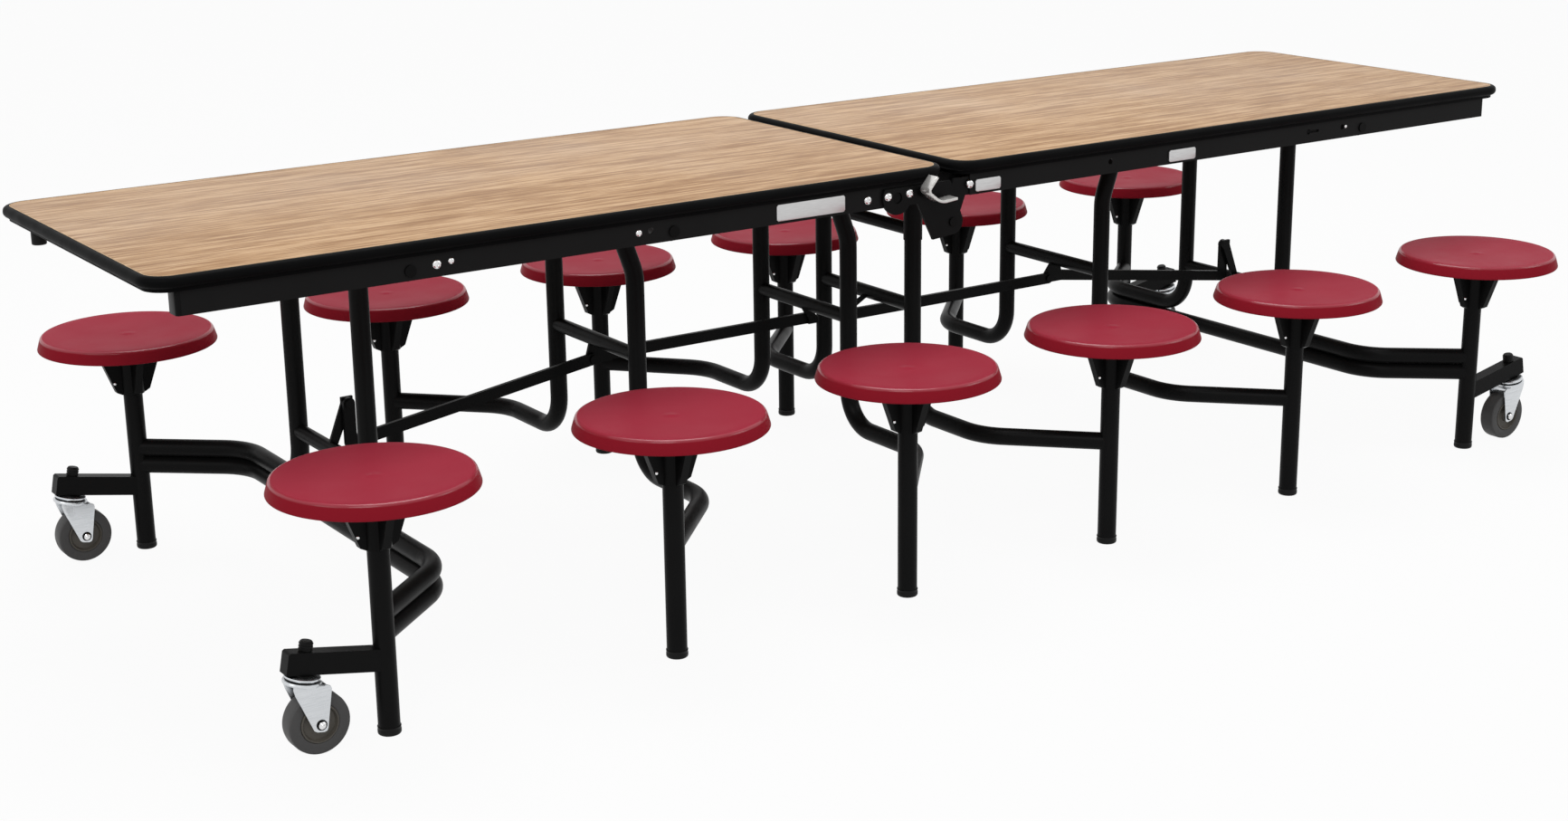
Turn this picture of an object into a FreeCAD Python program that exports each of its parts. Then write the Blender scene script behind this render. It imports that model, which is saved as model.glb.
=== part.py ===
"""Folding mobile cafeteria table with a row of round stools on each side.

Two laminate tops meet at a centre hinge. Each top carries three welded leg frames, and each
frame carries a front and a back stool. When the centre is lifted the tops swing up, the frames
stay upright, held parallel by tie bars, and the outer frames close together on their casters.

Frame: X along the length, Y across, Z up, origin on the floor under the centre hinge.
The left half is modelled. The right half is the same half turned round by 180 degrees, but its
inner frame, called centre here, has straight legs with a brace tube.
"""
import FreeCAD, Part
import math
import os

# Tops
TOP_LENGTH = 3073.0
TOP_WIDTH = 742.0
TOP_HEIGHT = 737.0
TOP_GAP = 6.0
BOARD_THICKNESS = 25.0
CORNER_RADIUS = 50.0
BAND_WIDTH = 12.0
BAND_HEIGHT = 30.0
BAND_ROUND = 10.0

# Side rails under the tops
RAIL_SETBACK = 15.0
RAIL_WALL = 3.0
RAIL_DEPTH = 40.0
RAIL_FLANGE = 28.0
RAIL_END_SETBACK = 56.0
RAIL_INNER_END = 45.0
RAIL_HOLE_D = 11.0
RAIL_HOLE_DROP = 17.0
FRONT_RAIL_HOLES = {"outer": 73.0, "middle": -46.0}
BACK_RAIL_HOLES = {"outer": 60.0, "middle": 210.0}
KEYHOLE_OFFSET = 145.0
KEYHOLE_LENGTH = 30.0

# Stools
STOOL_D = 330.0
STOOL_HEIGHT = 432.0
STOOL_DISH = 5.0
STOOL_SIDE_HEIGHT = 22.0
STOOL_SIDE_SLOPE = 8.0
STOOL_CREST = 8.0
STOOL_WALL = 6.0
STOOL_LIP = 3.0
EDGE_TO_STOOL_GAP = 5.0
SEAT_BRACKET_HEIGHT = 110.0
SEAT_BRACKET_TOP_R = 72.0
SEAT_BRACKET_LOW_R = 32.0
SEAT_BRACKET_CORNER = 5.0
SEAT_SLEEVE_WALL = 4.5
SEAT_WING = 14.0
SEAT_WING_COUNT = 4
SEAT_FLANGE_R = 77.0
SEAT_FLANGE = 4.0

# Leg frames
POST_D = 35.5
TUBE_D = 33.4
CROSS_TUBE_D = 27.0
PIVOT_TUBE_D = 37.0
OUTER_POST_SETBACK = 268.5
INNER_POST_X = 241.0
MIDDLE_POST_SHIFT = 21.5
ARM_REACH = {"outer": 168.0, "middle": 171.0, "inner": 155.0, "centre": 171.0}
LEG_SPACING = 300.0
PIVOT_DROP = 24.0
LEG_TOP_OFFSET = {"outer": 0.0, "middle": 42.0, "inner": 42.0, "centre": 0.0}
LEG_BEND_Z = 570.0
LEG_BEND_RADIUS = 90.0
ARM_Z = 202.0
ARM_FOOT_RADIUS = 70.0
ARM_CORNER_Y = {"outer": 400.0, "middle": 365.0, "inner": 365.0, "centre": 365.0}
ARM_CORNER_RADIUS = 110.0
ARM_STACK_GAP = 0.3
CROSS_TUBE_Z = {"outer": 300.0, "middle": 417.0, "inner": 417.0, "centre": 417.0}
BRACE_D = 25.4
BRACE_Z = 568.0
BRACE_SLEEVE_D = 37.0
BRACE_SLEEVE_HEIGHT = 90.0
PIVOT_BOLT_D = 12.0
PIVOT_BOLT_DEPTH = 28.0
PIVOT_HEAD_D = 20.0
PIVOT_HEAD = 3.0
FOOT_D = 38.0
FOOT_HEIGHT = 14.0
FOOT_BASE = 4.0

# Tie bars
BAR_HEIGHT = 22.0
BAR_THICKNESS = 8.0
BAR_PIVOT_Z = 380.0
OUTER_BAR_REACH = 34.0
INNER_BAR_REACH = 68.0
OUTER_BAR_DROP = 72.0
BAR_PIN_D = 10.0
BAR_PIN_HEAD_D = 16.0
BAR_PIN_HEAD = 3.0
BAR_PLATE = 6.0
BAR_PLATE_Y = 7.0
BAR_PLATE_MARGIN = 11.0

# Centre hinge
HINGE_DROP = 60.0
HINGE_PLATE = 5.0
HINGE_PIN_D = 10.0
HINGE_HEAD_D = 17.0
HINGE_HEAD = 3.0
GUSSET_LOBE_R = 33.0
GUSSET_LOBE_X = 128.0
GUSSET_LEFT_X = 82.0
GUSSET_TIP_X = 46.0
GUSSET_TIP_DROP = 28.0
GUSSET_NOSE_R = 24.0
GUSSET_NOSE_TURN = 30.0
HINGE_ARM_NOSE_R = 18.0
HINGE_ARM_LENGTH = 100.0
HINGE_ARM_DEPTH = 34.0
HINGE_ARM_TOP_X = 8.0
BEAM_X = 30.0
BEAM_SIZE = 26.0

# Latch lever on the front of the centre hinge
LATCH_X = 74.0
LATCH_DROP = 18.0
LATCH_REACH = 80.0
LATCH_DIP = 11.0
LATCH_ROD_D = 8.0
LATCH_BOSS_D = 15.0
LATCH_PIN_D = 6.0

# Casters
CASTER_ARM_RISE = 11.0
CASTER_ARM_Z = 127.0
CASTER_ARM_HEIGHT = 36.0
CASTER_ARM_WIDTH = 26.0
CASTER_ARM_TAIL = 32.0
CASTER_ARM_CHAMFER = 3.0
CASTER_REACH = 134.0
CASTER_TRAIL = 32.0
WHEEL_D = 101.6
WHEEL_WIDTH = 32.0
WHEEL_FLOOR_GAP = 1.5
WHEEL_SHOULDER = 5.0
TYRE_DEPTH = 19.0
HUB_RECESS = 4.0
HUB_BOSS_R = 16.0
AXLE_D = 10.0
AXLE_HEAD_D = 17.0
AXLE_HEAD = 4.0
FORK_WALL = 2.5
FORK_SIDE_GAP = 3.0
FORK_BACK = 42.0
FORK_FRONT = 24.0
FORK_LEG_FRONT = 14.0
FORK_CROWN_DROP = 13.0
FORK_LEG_R = 12.0
RACEWAY_D = 53.0
RACEWAY_FLARE = 3.5
STEM_D = 12.0
STEM_CAP_D = 20.0
STEM_CAP_HEIGHT = 15.0

# Clearances
SEAM = 0.1
RUNNING = 0.05
LAYER_GAP = 0.5
OPEN_PIVOT_GAP = 0.6

# Places worked out from the sizes above
X_AXIS = FreeCAD.Vector(1, 0, 0)
Y_AXIS = FreeCAD.Vector(0, 1, 0)
Z_AXIS = FreeCAD.Vector(0, 0, 1)
ORIGIN = FreeCAD.Vector(0, 0, 0)
LEFT_FRAMES = ("outer", "middle", "inner")
RIGHT_FRAMES = ("outer", "middle", "centre")
POST_R = POST_D / 2
TUBE_R = TUBE_D / 2
OUTER_POST_X = TOP_LENGTH / 2 - OUTER_POST_SETBACK
MIDDLE_POST_X = (OUTER_POST_X + INNER_POST_X) / 2 - MIDDLE_POST_SHIFT
POST_X = {"outer": OUTER_POST_X, "middle": MIDDLE_POST_X, "inner": INNER_POST_X, "centre": INNER_POST_X}
BOARD_Z = TOP_HEIGHT - BOARD_THICKNESS
BAND_Z = TOP_HEIGHT - BAND_HEIGHT
PIVOT_Z = BOARD_Z - PIVOT_DROP
HINGE_Z = PIVOT_Z - HINGE_DROP
STOOL_ROW = TOP_WIDTH / 2 + EDGE_TO_STOOL_GAP + STOOL_D / 2
LEG_Y = LEG_SPACING / 2
LOWER_ARM_Z = ARM_Z - TUBE_D - ARM_STACK_GAP
RAIL_OUT_Y = TOP_WIDTH / 2 - RAIL_SETBACK
RAIL_IN_Y = RAIL_OUT_Y - RAIL_WALL
RAIL_Z = BOARD_Z - RAIL_DEPTH
SEAT_UNDERSIDE_Z = STOOL_HEIGHT - STOOL_DISH - STOOL_WALL
SEAT_BRACKET_Z = SEAT_UNDERSIDE_Z - SEAT_BRACKET_HEIGHT
POST_TOP_Z = SEAT_UNDERSIDE_Z - SEAT_FLANGE
STEM_X = POST_X["outer"] + CASTER_REACH
STEM_Z = CASTER_ARM_Z + CASTER_REACH * math.tan(math.radians(CASTER_ARM_RISE))
CASTER_TURN = math.radians(CASTER_ARM_RISE)
WHEEL_R = WHEEL_D / 2
WHEEL_Z = WHEEL_R + WHEEL_FLOOR_GAP
WHEEL_DROP = (STEM_Z - CASTER_TRAIL * math.sin(CASTER_TURN) - WHEEL_Z) / math.cos(CASTER_TURN)
FORK_IN_Y = WHEEL_WIDTH / 2 + FORK_SIDE_GAP
GUSSET_IN_Y = RAIL_OUT_Y + LAYER_GAP
GUSSET_OUT_Y = GUSSET_IN_Y + HINGE_PLATE
HINGE_ARM_IN_Y = RAIL_IN_Y - HINGE_PLATE


def vec(x, y, z):
    return FreeCAD.Vector(x, y, z)


def leg_x(position):
    """X of a frame's upright legs on the left half."""
    return ARM_REACH[position] - POST_X[position]


def pivot_x(position):
    """X of the axis on which a left frame hangs from its top."""
    return leg_x(position) - LEG_TOP_OFFSET[position]


def cylinder(radius, start, end):
    """Round bar between two points."""
    axis = end - start
    return Part.makeCylinder(radius, axis.Length, start, axis)


def box(low, high):
    """Box between its lowest and highest corners."""
    size = high - low
    return Part.makeBox(size.x, size.y, size.z, low)


def plate_xz(points, y_low, y_high):
    """Flat plate whose outline is given in X and Z."""
    outline = [vec(x, y_low, z) for x, z in points]
    face = Part.Face(Part.makePolygon(outline + outline[:1]))
    return face.extrude(vec(0, y_high - y_low, 0))


def bent_tube(points, bend_radii, radius):
    """Round tube along straight runs joined by tangent bends."""
    pieces = []
    run_start = points[0]
    for before, corner, after, bend in zip(points, points[1:], points[2:], bend_radii):
        back = (before - corner).normalize()
        ahead = (after - corner).normalize()
        turn = math.pi - back.getAngle(ahead)
        tangent = bend * math.tan(turn / 2)
        bend_centre = corner + (back + ahead).normalize() * (bend / math.cos(turn / 2))
        run_end = corner + back * tangent
        section = Part.Face(Part.Wire(Part.makeCircle(radius, run_end, back)))
        pieces.append(cylinder(radius, run_start, run_end))
        pieces.append(section.revolve(bend_centre, ahead.cross(back), math.degrees(turn)))
        run_start = corner + ahead * tangent
    pieces.append(cylinder(radius, run_start, points[-1]))
    return joined(pieces)


def joined(shapes):
    """One welded piece out of overlapping shapes."""
    return shapes[0].fuse(shapes[1:]).removeSplitter()


def at_back(shape):
    """Copy of a front piece for the back row."""
    return shape.mirror(ORIGIN, Y_AXIS)


def pair(shape):
    """Front piece and its copy at the back."""
    return Part.makeCompound([shape, at_back(shape)])


def for_right_half(shape):
    """Copy of a left-half piece, turned half round for the right half."""
    turned = shape.copy()
    turned.rotate(ORIGIN, Z_AXIS, 180)
    return turned


def rounded_slab(inset, radius, z_low, z_high):
    """Slab of the left top's outline, drawn in by an inset."""
    x_low = -TOP_LENGTH / 2 + inset
    x_high = -TOP_GAP / 2 - inset
    half_width = TOP_WIDTH / 2 - inset
    slab = box(vec(x_low, -half_width, z_low), vec(x_high, half_width, z_high))
    uprights = [edge for edge in slab.Edges if abs(edge.tangentAt(edge.FirstParameter).z) > 0.5]
    return slab.makeFillet(radius, uprights)


def board():
    return rounded_slab(BAND_WIDTH + SEAM, CORNER_RADIUS - BAND_WIDTH - SEAM, BOARD_Z, TOP_HEIGHT)


def edge_band():
    """Thick rounded band that wraps the board."""
    outer = rounded_slab(0, CORNER_RADIUS, BAND_Z, TOP_HEIGHT)
    rims = [edge for edge in outer.Edges if abs(edge.BoundBox.ZLength) < SEAM]
    outer = outer.makeFillet(BAND_ROUND, rims)
    inner_radius = CORNER_RADIUS - BAND_WIDTH
    inner = rounded_slab(BAND_WIDTH, inner_radius, TOP_HEIGHT - 2 * BAND_HEIGHT, 2 * TOP_HEIGHT)
    return outer.cut(inner)


def rail(frames, hole_offsets):
    """Front angle rail with its pivot holes and, beside some of them, its plain holes."""
    x_low = -TOP_LENGTH / 2 + RAIL_END_SETBACK
    flange_y = -RAIL_OUT_Y + RAIL_FLANGE
    web = box(vec(x_low, -RAIL_OUT_Y, RAIL_Z), vec(-RAIL_INNER_END, -RAIL_IN_Y, BOARD_Z))
    flange = box(vec(x_low, -RAIL_OUT_Y, BOARD_Z - RAIL_WALL), vec(-RAIL_INNER_END, flange_y, BOARD_Z))
    angle = joined([web, flange])
    cut_from = -RAIL_OUT_Y - RAIL_WALL
    cut_to = -RAIL_IN_Y + RAIL_WALL
    cuts = []
    for position in frames:
        cuts.append((pivot_x(position), PIVOT_Z, PIVOT_BOLT_D / 2 + RUNNING))
    for position, offset in hole_offsets.items():
        cuts.append((pivot_x(position) + offset, BOARD_Z - RAIL_HOLE_DROP, RAIL_HOLE_D / 2))
    for x, z, radius in cuts:
        angle = angle.cut(cylinder(radius, vec(x, cut_from, z), vec(x, cut_to, z)))
    return angle


def keyhole():
    """Slot with round ends through the back rail, written at the front."""
    z = BOARD_Z - RAIL_HOLE_DROP
    far_x = pivot_x("outer") + KEYHOLE_OFFSET - KEYHOLE_LENGTH / 2
    eye_x = far_x + KEYHOLE_LENGTH
    cut_from = -RAIL_OUT_Y - RAIL_WALL
    cut_to = -RAIL_IN_Y + RAIL_WALL
    slot = box(vec(far_x, cut_from, z - RAIL_HOLE_D / 4), vec(eye_x, cut_to, z + RAIL_HOLE_D / 4))
    eye = cylinder(RAIL_HOLE_D / 2, vec(eye_x, cut_from, z), vec(eye_x, cut_to, z))
    return joined([slot, eye])


def rails(frames):
    front = rail(frames, FRONT_RAIL_HOLES)
    back = rail(frames, BACK_RAIL_HOLES).cut(keyhole())
    return Part.makeCompound([front, at_back(back)])


def pivot_bolts(frames):
    """Shoulder bolts through the rails on which the frames swing."""
    bolts = []
    for position in frames:
        x = pivot_x(position)
        head_y = -RAIL_OUT_Y - PIVOT_HEAD
        tip_y = -RAIL_IN_Y + PIVOT_BOLT_DEPTH
        shank = cylinder(PIVOT_BOLT_D / 2, vec(x, head_y, PIVOT_Z), vec(x, tip_y, PIVOT_Z))
        head = cylinder(PIVOT_HEAD_D / 2, vec(x, head_y, PIVOT_Z), vec(x, -RAIL_OUT_Y, PIVOT_Z))
        bolt = joined([shank, head])
        bolts += [bolt, at_back(bolt)]
    return Part.makeCompound(bolts)


def post_core(position, radius):
    """Upright at the front post's place, from the floor to the seat."""
    x = -POST_X[position]
    return cylinder(radius, vec(x, -STOOL_ROW, FOOT_BASE), vec(x, -STOOL_ROW, POST_TOP_Z))


def leg(position):
    """Front leg: from the pivot tube down, round its foot bend and out to the stool post."""
    x = leg_x(position)
    points = [vec(pivot_x(position), -LEG_Y, PIVOT_Z)]
    bends = []
    if LEG_TOP_OFFSET[position]:
        points.append(vec(x, -LEG_Y, LEG_BEND_Z))
        bends.append(LEG_BEND_RADIUS)
    points.append(vec(x, -LEG_Y, ARM_Z))
    points.append(vec(x, -ARM_CORNER_Y[position], ARM_Z))
    points.append(vec(-POST_X[position], -STOOL_ROW, ARM_Z))
    bends += [ARM_FOOT_RADIUS, ARM_CORNER_RADIUS]
    return bent_tube(points, bends, TUBE_R).cut(post_core(position, POST_R + SEAM))


def pivot_tube(position):
    """Tube across the leg tops, bored at both ends for the pivot bolts."""
    x = pivot_x(position)
    end_y = HINGE_ARM_IN_Y - LAYER_GAP
    tube = cylinder(PIVOT_TUBE_D / 2, vec(x, -end_y, PIVOT_Z), vec(x, end_y, PIVOT_Z))
    bore_y = RAIL_IN_Y - PIVOT_BOLT_DEPTH - LAYER_GAP
    bore = cylinder(PIVOT_BOLT_D / 2 + RUNNING, vec(x, -end_y, PIVOT_Z), vec(x, -bore_y, PIVOT_Z))
    return tube.cut(bore).cut(at_back(bore))


def bar_pin(x, side):
    """Headed pin on one side of a bar plate: side is -1 to the front and +1 to the back."""
    lane = BAR_PLATE / 2 + BAR_THICKNESS + 2 * LAYER_GAP
    root = vec(x, BAR_PLATE_Y, BAR_PIVOT_Z)
    head_start = root + vec(0, side * lane, 0)
    tip = head_start + vec(0, side * BAR_PIN_HEAD, 0)
    return joined([cylinder(BAR_PIN_D / 2, root, tip), cylinder(BAR_PIN_HEAD_D / 2, head_start, tip)])


def bar_places(position):
    """X and side of each tie-bar pin on a left frame."""
    outer_pin = (pivot_x(position) + OUTER_BAR_REACH, -1)
    inner_pin = (pivot_x(position) + INNER_BAR_REACH, 1)
    return {"outer": [outer_pin], "middle": [outer_pin, inner_pin]}.get(position, [inner_pin])


def bar_plate(position):
    """Plate welded to the cross tube, with the pins that hold the tie bars."""
    places = bar_places(position)
    tube_z = CROSS_TUBE_Z[position]
    xs = [x for x, side in places]
    low_x = min(xs) - BAR_PLATE_MARGIN
    high_x = max(xs) + BAR_PLATE_MARGIN
    root_x = leg_x(position)
    reach = BAR_PLATE_MARGIN if tube_z > BAR_PIVOT_Z else -BAR_PLATE_MARGIN
    outline = [(root_x - TUBE_R / 2, tube_z), (low_x, BAR_PIVOT_Z), (low_x, BAR_PIVOT_Z - reach),
               (high_x, BAR_PIVOT_Z - reach), (high_x, BAR_PIVOT_Z), (root_x + TUBE_R / 2, tube_z)]
    plate = plate_xz(outline, BAR_PLATE_Y - BAR_PLATE / 2, BAR_PLATE_Y + BAR_PLATE / 2)
    return [plate] + [bar_pin(x, side) for x, side in places]


def leg_frame(position):
    """Welded frame: both legs, the pivot tube, the cross tube and the bar plate."""
    front = leg(position)
    x = leg_x(position)
    z = CROSS_TUBE_Z[position]
    cross = cylinder(CROSS_TUBE_D / 2, vec(x, -LEG_Y, z), vec(x, LEG_Y, z))
    pieces = [front, at_back(front), pivot_tube(position), cross] + bar_plate(position)
    if position == "centre":
        pieces += leg_brace()
    if position == "outer":
        return Part.makeCompound([joined(pieces), lower_tube()])
    return joined(pieces)


def leg_brace():
    """Thinner tube between the centre frame's legs, with a sleeve round each leg."""
    x = leg_x("centre")
    tube = cylinder(BRACE_D / 2, vec(x, -LEG_Y, BRACE_Z), vec(x, LEG_Y, BRACE_Z))
    low = vec(x, -LEG_Y, BRACE_Z - BRACE_SLEEVE_D / 2)
    sleeve = cylinder(BRACE_SLEEVE_D / 2, low, low + vec(0, 0, BRACE_SLEEVE_HEIGHT))
    return [tube, sleeve, at_back(sleeve)]


def lower_tube():
    """Second tube of the outer frame, from post to post under the two arms."""
    x = leg_x("outer")
    corner_y = ARM_CORNER_Y["outer"]
    post = post_core("outer", POST_R + SEAM)
    end_x = -POST_X["outer"]
    points = [vec(end_x, -STOOL_ROW, LOWER_ARM_Z), vec(x, -corner_y, LOWER_ARM_Z),
              vec(x, corner_y, LOWER_ARM_Z), vec(end_x, STOOL_ROW, LOWER_ARM_Z)]
    tube = bent_tube(points, [ARM_CORNER_RADIUS] * 2, TUBE_R)
    return tube.cut(post).cut(at_back(post))


def on_caster(shape):
    """Place a shape written about the swivel axis at the front left caster."""
    placed = shape.copy()
    placed.rotate(ORIGIN, Y_AXIS, CASTER_ARM_RISE)
    placed.translate(vec(-STEM_X, -STOOL_ROW, STEM_Z))
    return placed


def caster_arm():
    """Rising box-section arm with a chamfered tail, the stem bore and its cap."""
    half_height = CASTER_ARM_HEIGHT / 2
    half_width = CASTER_ARM_WIDTH / 2
    reach = CASTER_REACH / math.cos(CASTER_TURN)
    bar = box(vec(-CASTER_ARM_TAIL, -half_width, -half_height), vec(reach, half_width, half_height))
    tail = [edge for edge in bar.Edges
            if edge.BoundBox.XMax < SEAM - CASTER_ARM_TAIL and edge.BoundBox.ZMin > half_height - SEAM]
    bar = bar.makeChamfer(CASTER_ARM_CHAMFER, tail)
    cap = cylinder(STEM_CAP_D / 2, vec(0, 0, 0), vec(0, 0, half_height + STEM_CAP_HEIGHT))
    bore = cylinder(STEM_D / 2 + RUNNING, vec(0, 0, -CASTER_ARM_HEIGHT), vec(0, 0, half_height))
    return on_caster(joined([bar, cap]).cut(bore))


def posts(position):
    """Stool posts, with the caster arms welded to the outer ones."""
    post = post_core(position, POST_R)
    if position == "outer":
        post = joined([post, caster_arm()])
    return pair(post)


def feet(position):
    """Foot caps pressed over the post ends."""
    base = vec(-POST_X[position], -STOOL_ROW, 0)
    cap = cylinder(FOOT_D / 2, base, base + vec(0, 0, FOOT_HEIGHT))
    socket = cylinder(POST_R + SEAM, base + vec(0, 0, FOOT_BASE), base + vec(0, 0, 2 * FOOT_HEIGHT))
    return pair(cap.cut(socket))


def seat():
    """Dished moulded seat about the Z axis: crest, sloped side and open underside."""
    rim_r = STOOL_D / 2
    crest_r = rim_r - STOOL_SIDE_SLOPE
    lip_z = STOOL_HEIGHT - STOOL_SIDE_HEIGHT
    dish_r = crest_r - STOOL_CREST
    dish_z = STOOL_HEIGHT - STOOL_DISH
    under_z = SEAT_UNDERSIDE_Z
    crest_drop = STOOL_CREST / 4
    centre = vec(0, 0, dish_z)
    dish_end = vec(dish_r, 0, STOOL_HEIGHT)
    crest_end = vec(crest_r, 0, STOOL_HEIGHT - crest_drop)
    dish = Part.Arc(centre, vec(dish_r / 2, 0, dish_z + STOOL_DISH / 4), dish_end)
    crest = Part.Arc(dish_end, vec(crest_r - crest_drop, 0, STOOL_HEIGHT - crest_drop / 2), crest_end)
    corners = [crest_end, vec(rim_r, 0, lip_z), vec(rim_r, 0, lip_z - STOOL_LIP),
               vec(rim_r - STOOL_WALL, 0, lip_z - STOOL_LIP), vec(crest_r - STOOL_WALL, 0, under_z),
               vec(0, 0, under_z), centre]
    outline = Part.Wire([dish.toShape(), crest.toShape()] + Part.makePolygon(corners).Edges)
    return Part.Face(outline).revolve(ORIGIN, Z_AXIS, 360)


def seat_bracket():
    """Socket on the post top, with wings that widen up to the seat, about the Z axis."""
    low = SEAT_BRACKET_Z
    high = SEAT_UNDERSIDE_Z
    sleeve_r = POST_R + SEAM + SEAT_SLEEVE_WALL
    sleeve = cylinder(sleeve_r, vec(0, 0, low), vec(0, 0, high))
    flange = cylinder(SEAT_FLANGE_R, vec(0, 0, high - SEAT_FLANGE), vec(0, 0, high))
    low_corner = low + SEAT_BRACKET_CORNER
    right_edge = [(sleeve_r, low), (SEAT_BRACKET_LOW_R, low_corner), (SEAT_BRACKET_TOP_R, high)]
    left_edge = [(-x, z) for x, z in reversed(right_edge)]
    wings = []
    for count in range(SEAT_WING_COUNT // 2):
        wing = plate_xz(right_edge + left_edge, -SEAT_WING / 2, SEAT_WING / 2)
        wing.rotate(ORIGIN, Z_AXIS, 360 * count / SEAT_WING_COUNT)
        wings.append(wing)
    bore = cylinder(POST_R + SEAM, vec(0, 0, low - SEAT_FLANGE), vec(0, 0, POST_TOP_Z))
    return joined([sleeve, flange] + wings).cut(bore)


def on_posts(shape, position):
    """Copies of a shape about the Z axis on a frame's two posts."""
    placed = shape.copy()
    placed.translate(vec(-POST_X[position], -STOOL_ROW, 0))
    return pair(placed)


def round_ended_bar(start, end, y_low, y_high):
    """Flat bar with round ends between two points of the XZ plane."""
    along = (end - start).normalize()
    across = along.cross(Y_AXIS) * (BAR_HEIGHT / 2)
    corners = [start + across, end + across, end - across, start - across]
    flat = plate_xz([(corner.x, corner.z) for corner in corners], y_low, y_high)
    rounds = [cylinder(BAR_HEIGHT / 2, vec(p.x, y_low, p.z), vec(p.x, y_high, p.z)) for p in (start, end)]
    return joined([flat] + rounds)


def bar_hole(place, radius):
    reach = vec(0, BAR_PLATE + 2 * BAR_THICKNESS, 0)
    return cylinder(radius, place - reach, place + reach)


def tie_bar(near, far, lane):
    """Bar between two frames: near carries it and far takes its other end."""
    ends = []
    for position in (near, far):
        ends += [vec(x, BAR_PLATE_Y, BAR_PIVOT_Z) for x, side in bar_places(position) if side == lane]
    near_y = BAR_PLATE_Y + lane * (BAR_PLATE / 2 + LAYER_GAP)
    y_low, y_high = sorted((near_y, near_y + lane * BAR_THICKNESS))
    if near == "outer":
        foot = ends[0] - vec(0, 0, OUTER_BAR_DROP)
        ear = round_ended_bar(ends[0], foot, y_low, y_high)
        bar = joined([ear, round_ended_bar(foot, ends[1], y_low, y_high)])
    else:
        bar = round_ended_bar(ends[0], ends[1], y_low, y_high)
    bar = bar.cut(bar_hole(ends[0], BAR_PIN_D / 2 + RUNNING))
    return bar.cut(bar_hole(ends[1], BAR_PIN_D / 2 + OPEN_PIVOT_GAP))


def gusset(frames):
    """Front hinge plate outside the rail: a round lobe on the rail and a nose round the pin."""
    top_z = BAND_Z - LAYER_GAP
    nose_turn = math.radians(GUSSET_NOSE_TURN)
    nose_x = GUSSET_NOSE_R * math.cos(nose_turn)
    nose_z = GUSSET_NOSE_R * math.sin(nose_turn)
    outline = [(-GUSSET_LOBE_X, top_z), (-GUSSET_LOBE_X, RAIL_Z), (-GUSSET_LEFT_X, RAIL_Z),
               (-GUSSET_TIP_X, HINGE_Z - GUSSET_TIP_DROP), (0, HINGE_Z - GUSSET_NOSE_R),
               (nose_x, HINGE_Z + nose_z), (-TOP_GAP, top_z)]
    plate = plate_xz(outline, -GUSSET_OUT_Y, -GUSSET_IN_Y)
    nose = cylinder(GUSSET_NOSE_R, vec(0, -GUSSET_OUT_Y, HINGE_Z), vec(0, -GUSSET_IN_Y, HINGE_Z))
    lobe_z = top_z - GUSSET_LOBE_R / 2
    lobe_end = vec(-GUSSET_LOBE_X, -RAIL_OUT_Y, lobe_z)
    lobe = cylinder(GUSSET_LOBE_R, vec(-GUSSET_LOBE_X, -GUSSET_OUT_Y, lobe_z), lobe_end)
    head_room = box(vec(-TOP_LENGTH, -TOP_WIDTH, top_z), vec(TOP_LENGTH, 0, TOP_HEIGHT))
    latch_z = BOARD_Z - LATCH_DROP
    pin_hole = cylinder(HINGE_PIN_D / 2 + SEAM, vec(0, -TOP_WIDTH, HINGE_Z), vec(0, 0, HINGE_Z))
    latch_r = LATCH_PIN_D / 2 + RUNNING
    latch_hole = cylinder(latch_r, vec(-LATCH_X, -TOP_WIDTH, latch_z), vec(-LATCH_X, 0, latch_z))
    bolt_hole = bolt_room(frames[-1], PIVOT_HEAD_D / 2 + LAYER_GAP)
    return joined([plate, nose, lobe]).cut([head_room, pin_hole, latch_hole, bolt_hole])


def bolt_room(position, radius):
    """Clear bore across the whole width about a frame's pivot axis."""
    x = pivot_x(position)
    return cylinder(radius, vec(x, -TOP_WIDTH, PIVOT_Z), vec(x, TOP_WIDTH, PIVOT_Z))


def hinge_arm(frames):
    """Back hinge plate inside the rail, down to the pin of the other half's gusset."""
    top_z = BAND_Z - LAYER_GAP
    low_z = top_z - HINGE_ARM_DEPTH
    outline = [(-HINGE_ARM_LENGTH, top_z), (-HINGE_ARM_LENGTH, low_z), (-2 * HINGE_ARM_NOSE_R, low_z),
               (-HINGE_ARM_NOSE_R, HINGE_Z), (HINGE_ARM_NOSE_R, HINGE_Z), (-HINGE_ARM_TOP_X, top_z)]
    plate = plate_xz(outline, HINGE_ARM_IN_Y, RAIL_IN_Y)
    nose = cylinder(HINGE_ARM_NOSE_R, vec(0, HINGE_ARM_IN_Y, HINGE_Z), vec(0, RAIL_IN_Y, HINGE_Z))
    hole = cylinder(HINGE_PIN_D / 2 + RUNNING, vec(0, 0, HINGE_Z), vec(0, TOP_WIDTH, HINGE_Z))
    return joined([plate, nose]).cut([hole, bolt_room(frames[-1], PIVOT_BOLT_D / 2 + SEAM)])


def hinge_plates(frames):
    return Part.makeCompound([gusset(frames), hinge_arm(frames)])


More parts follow.
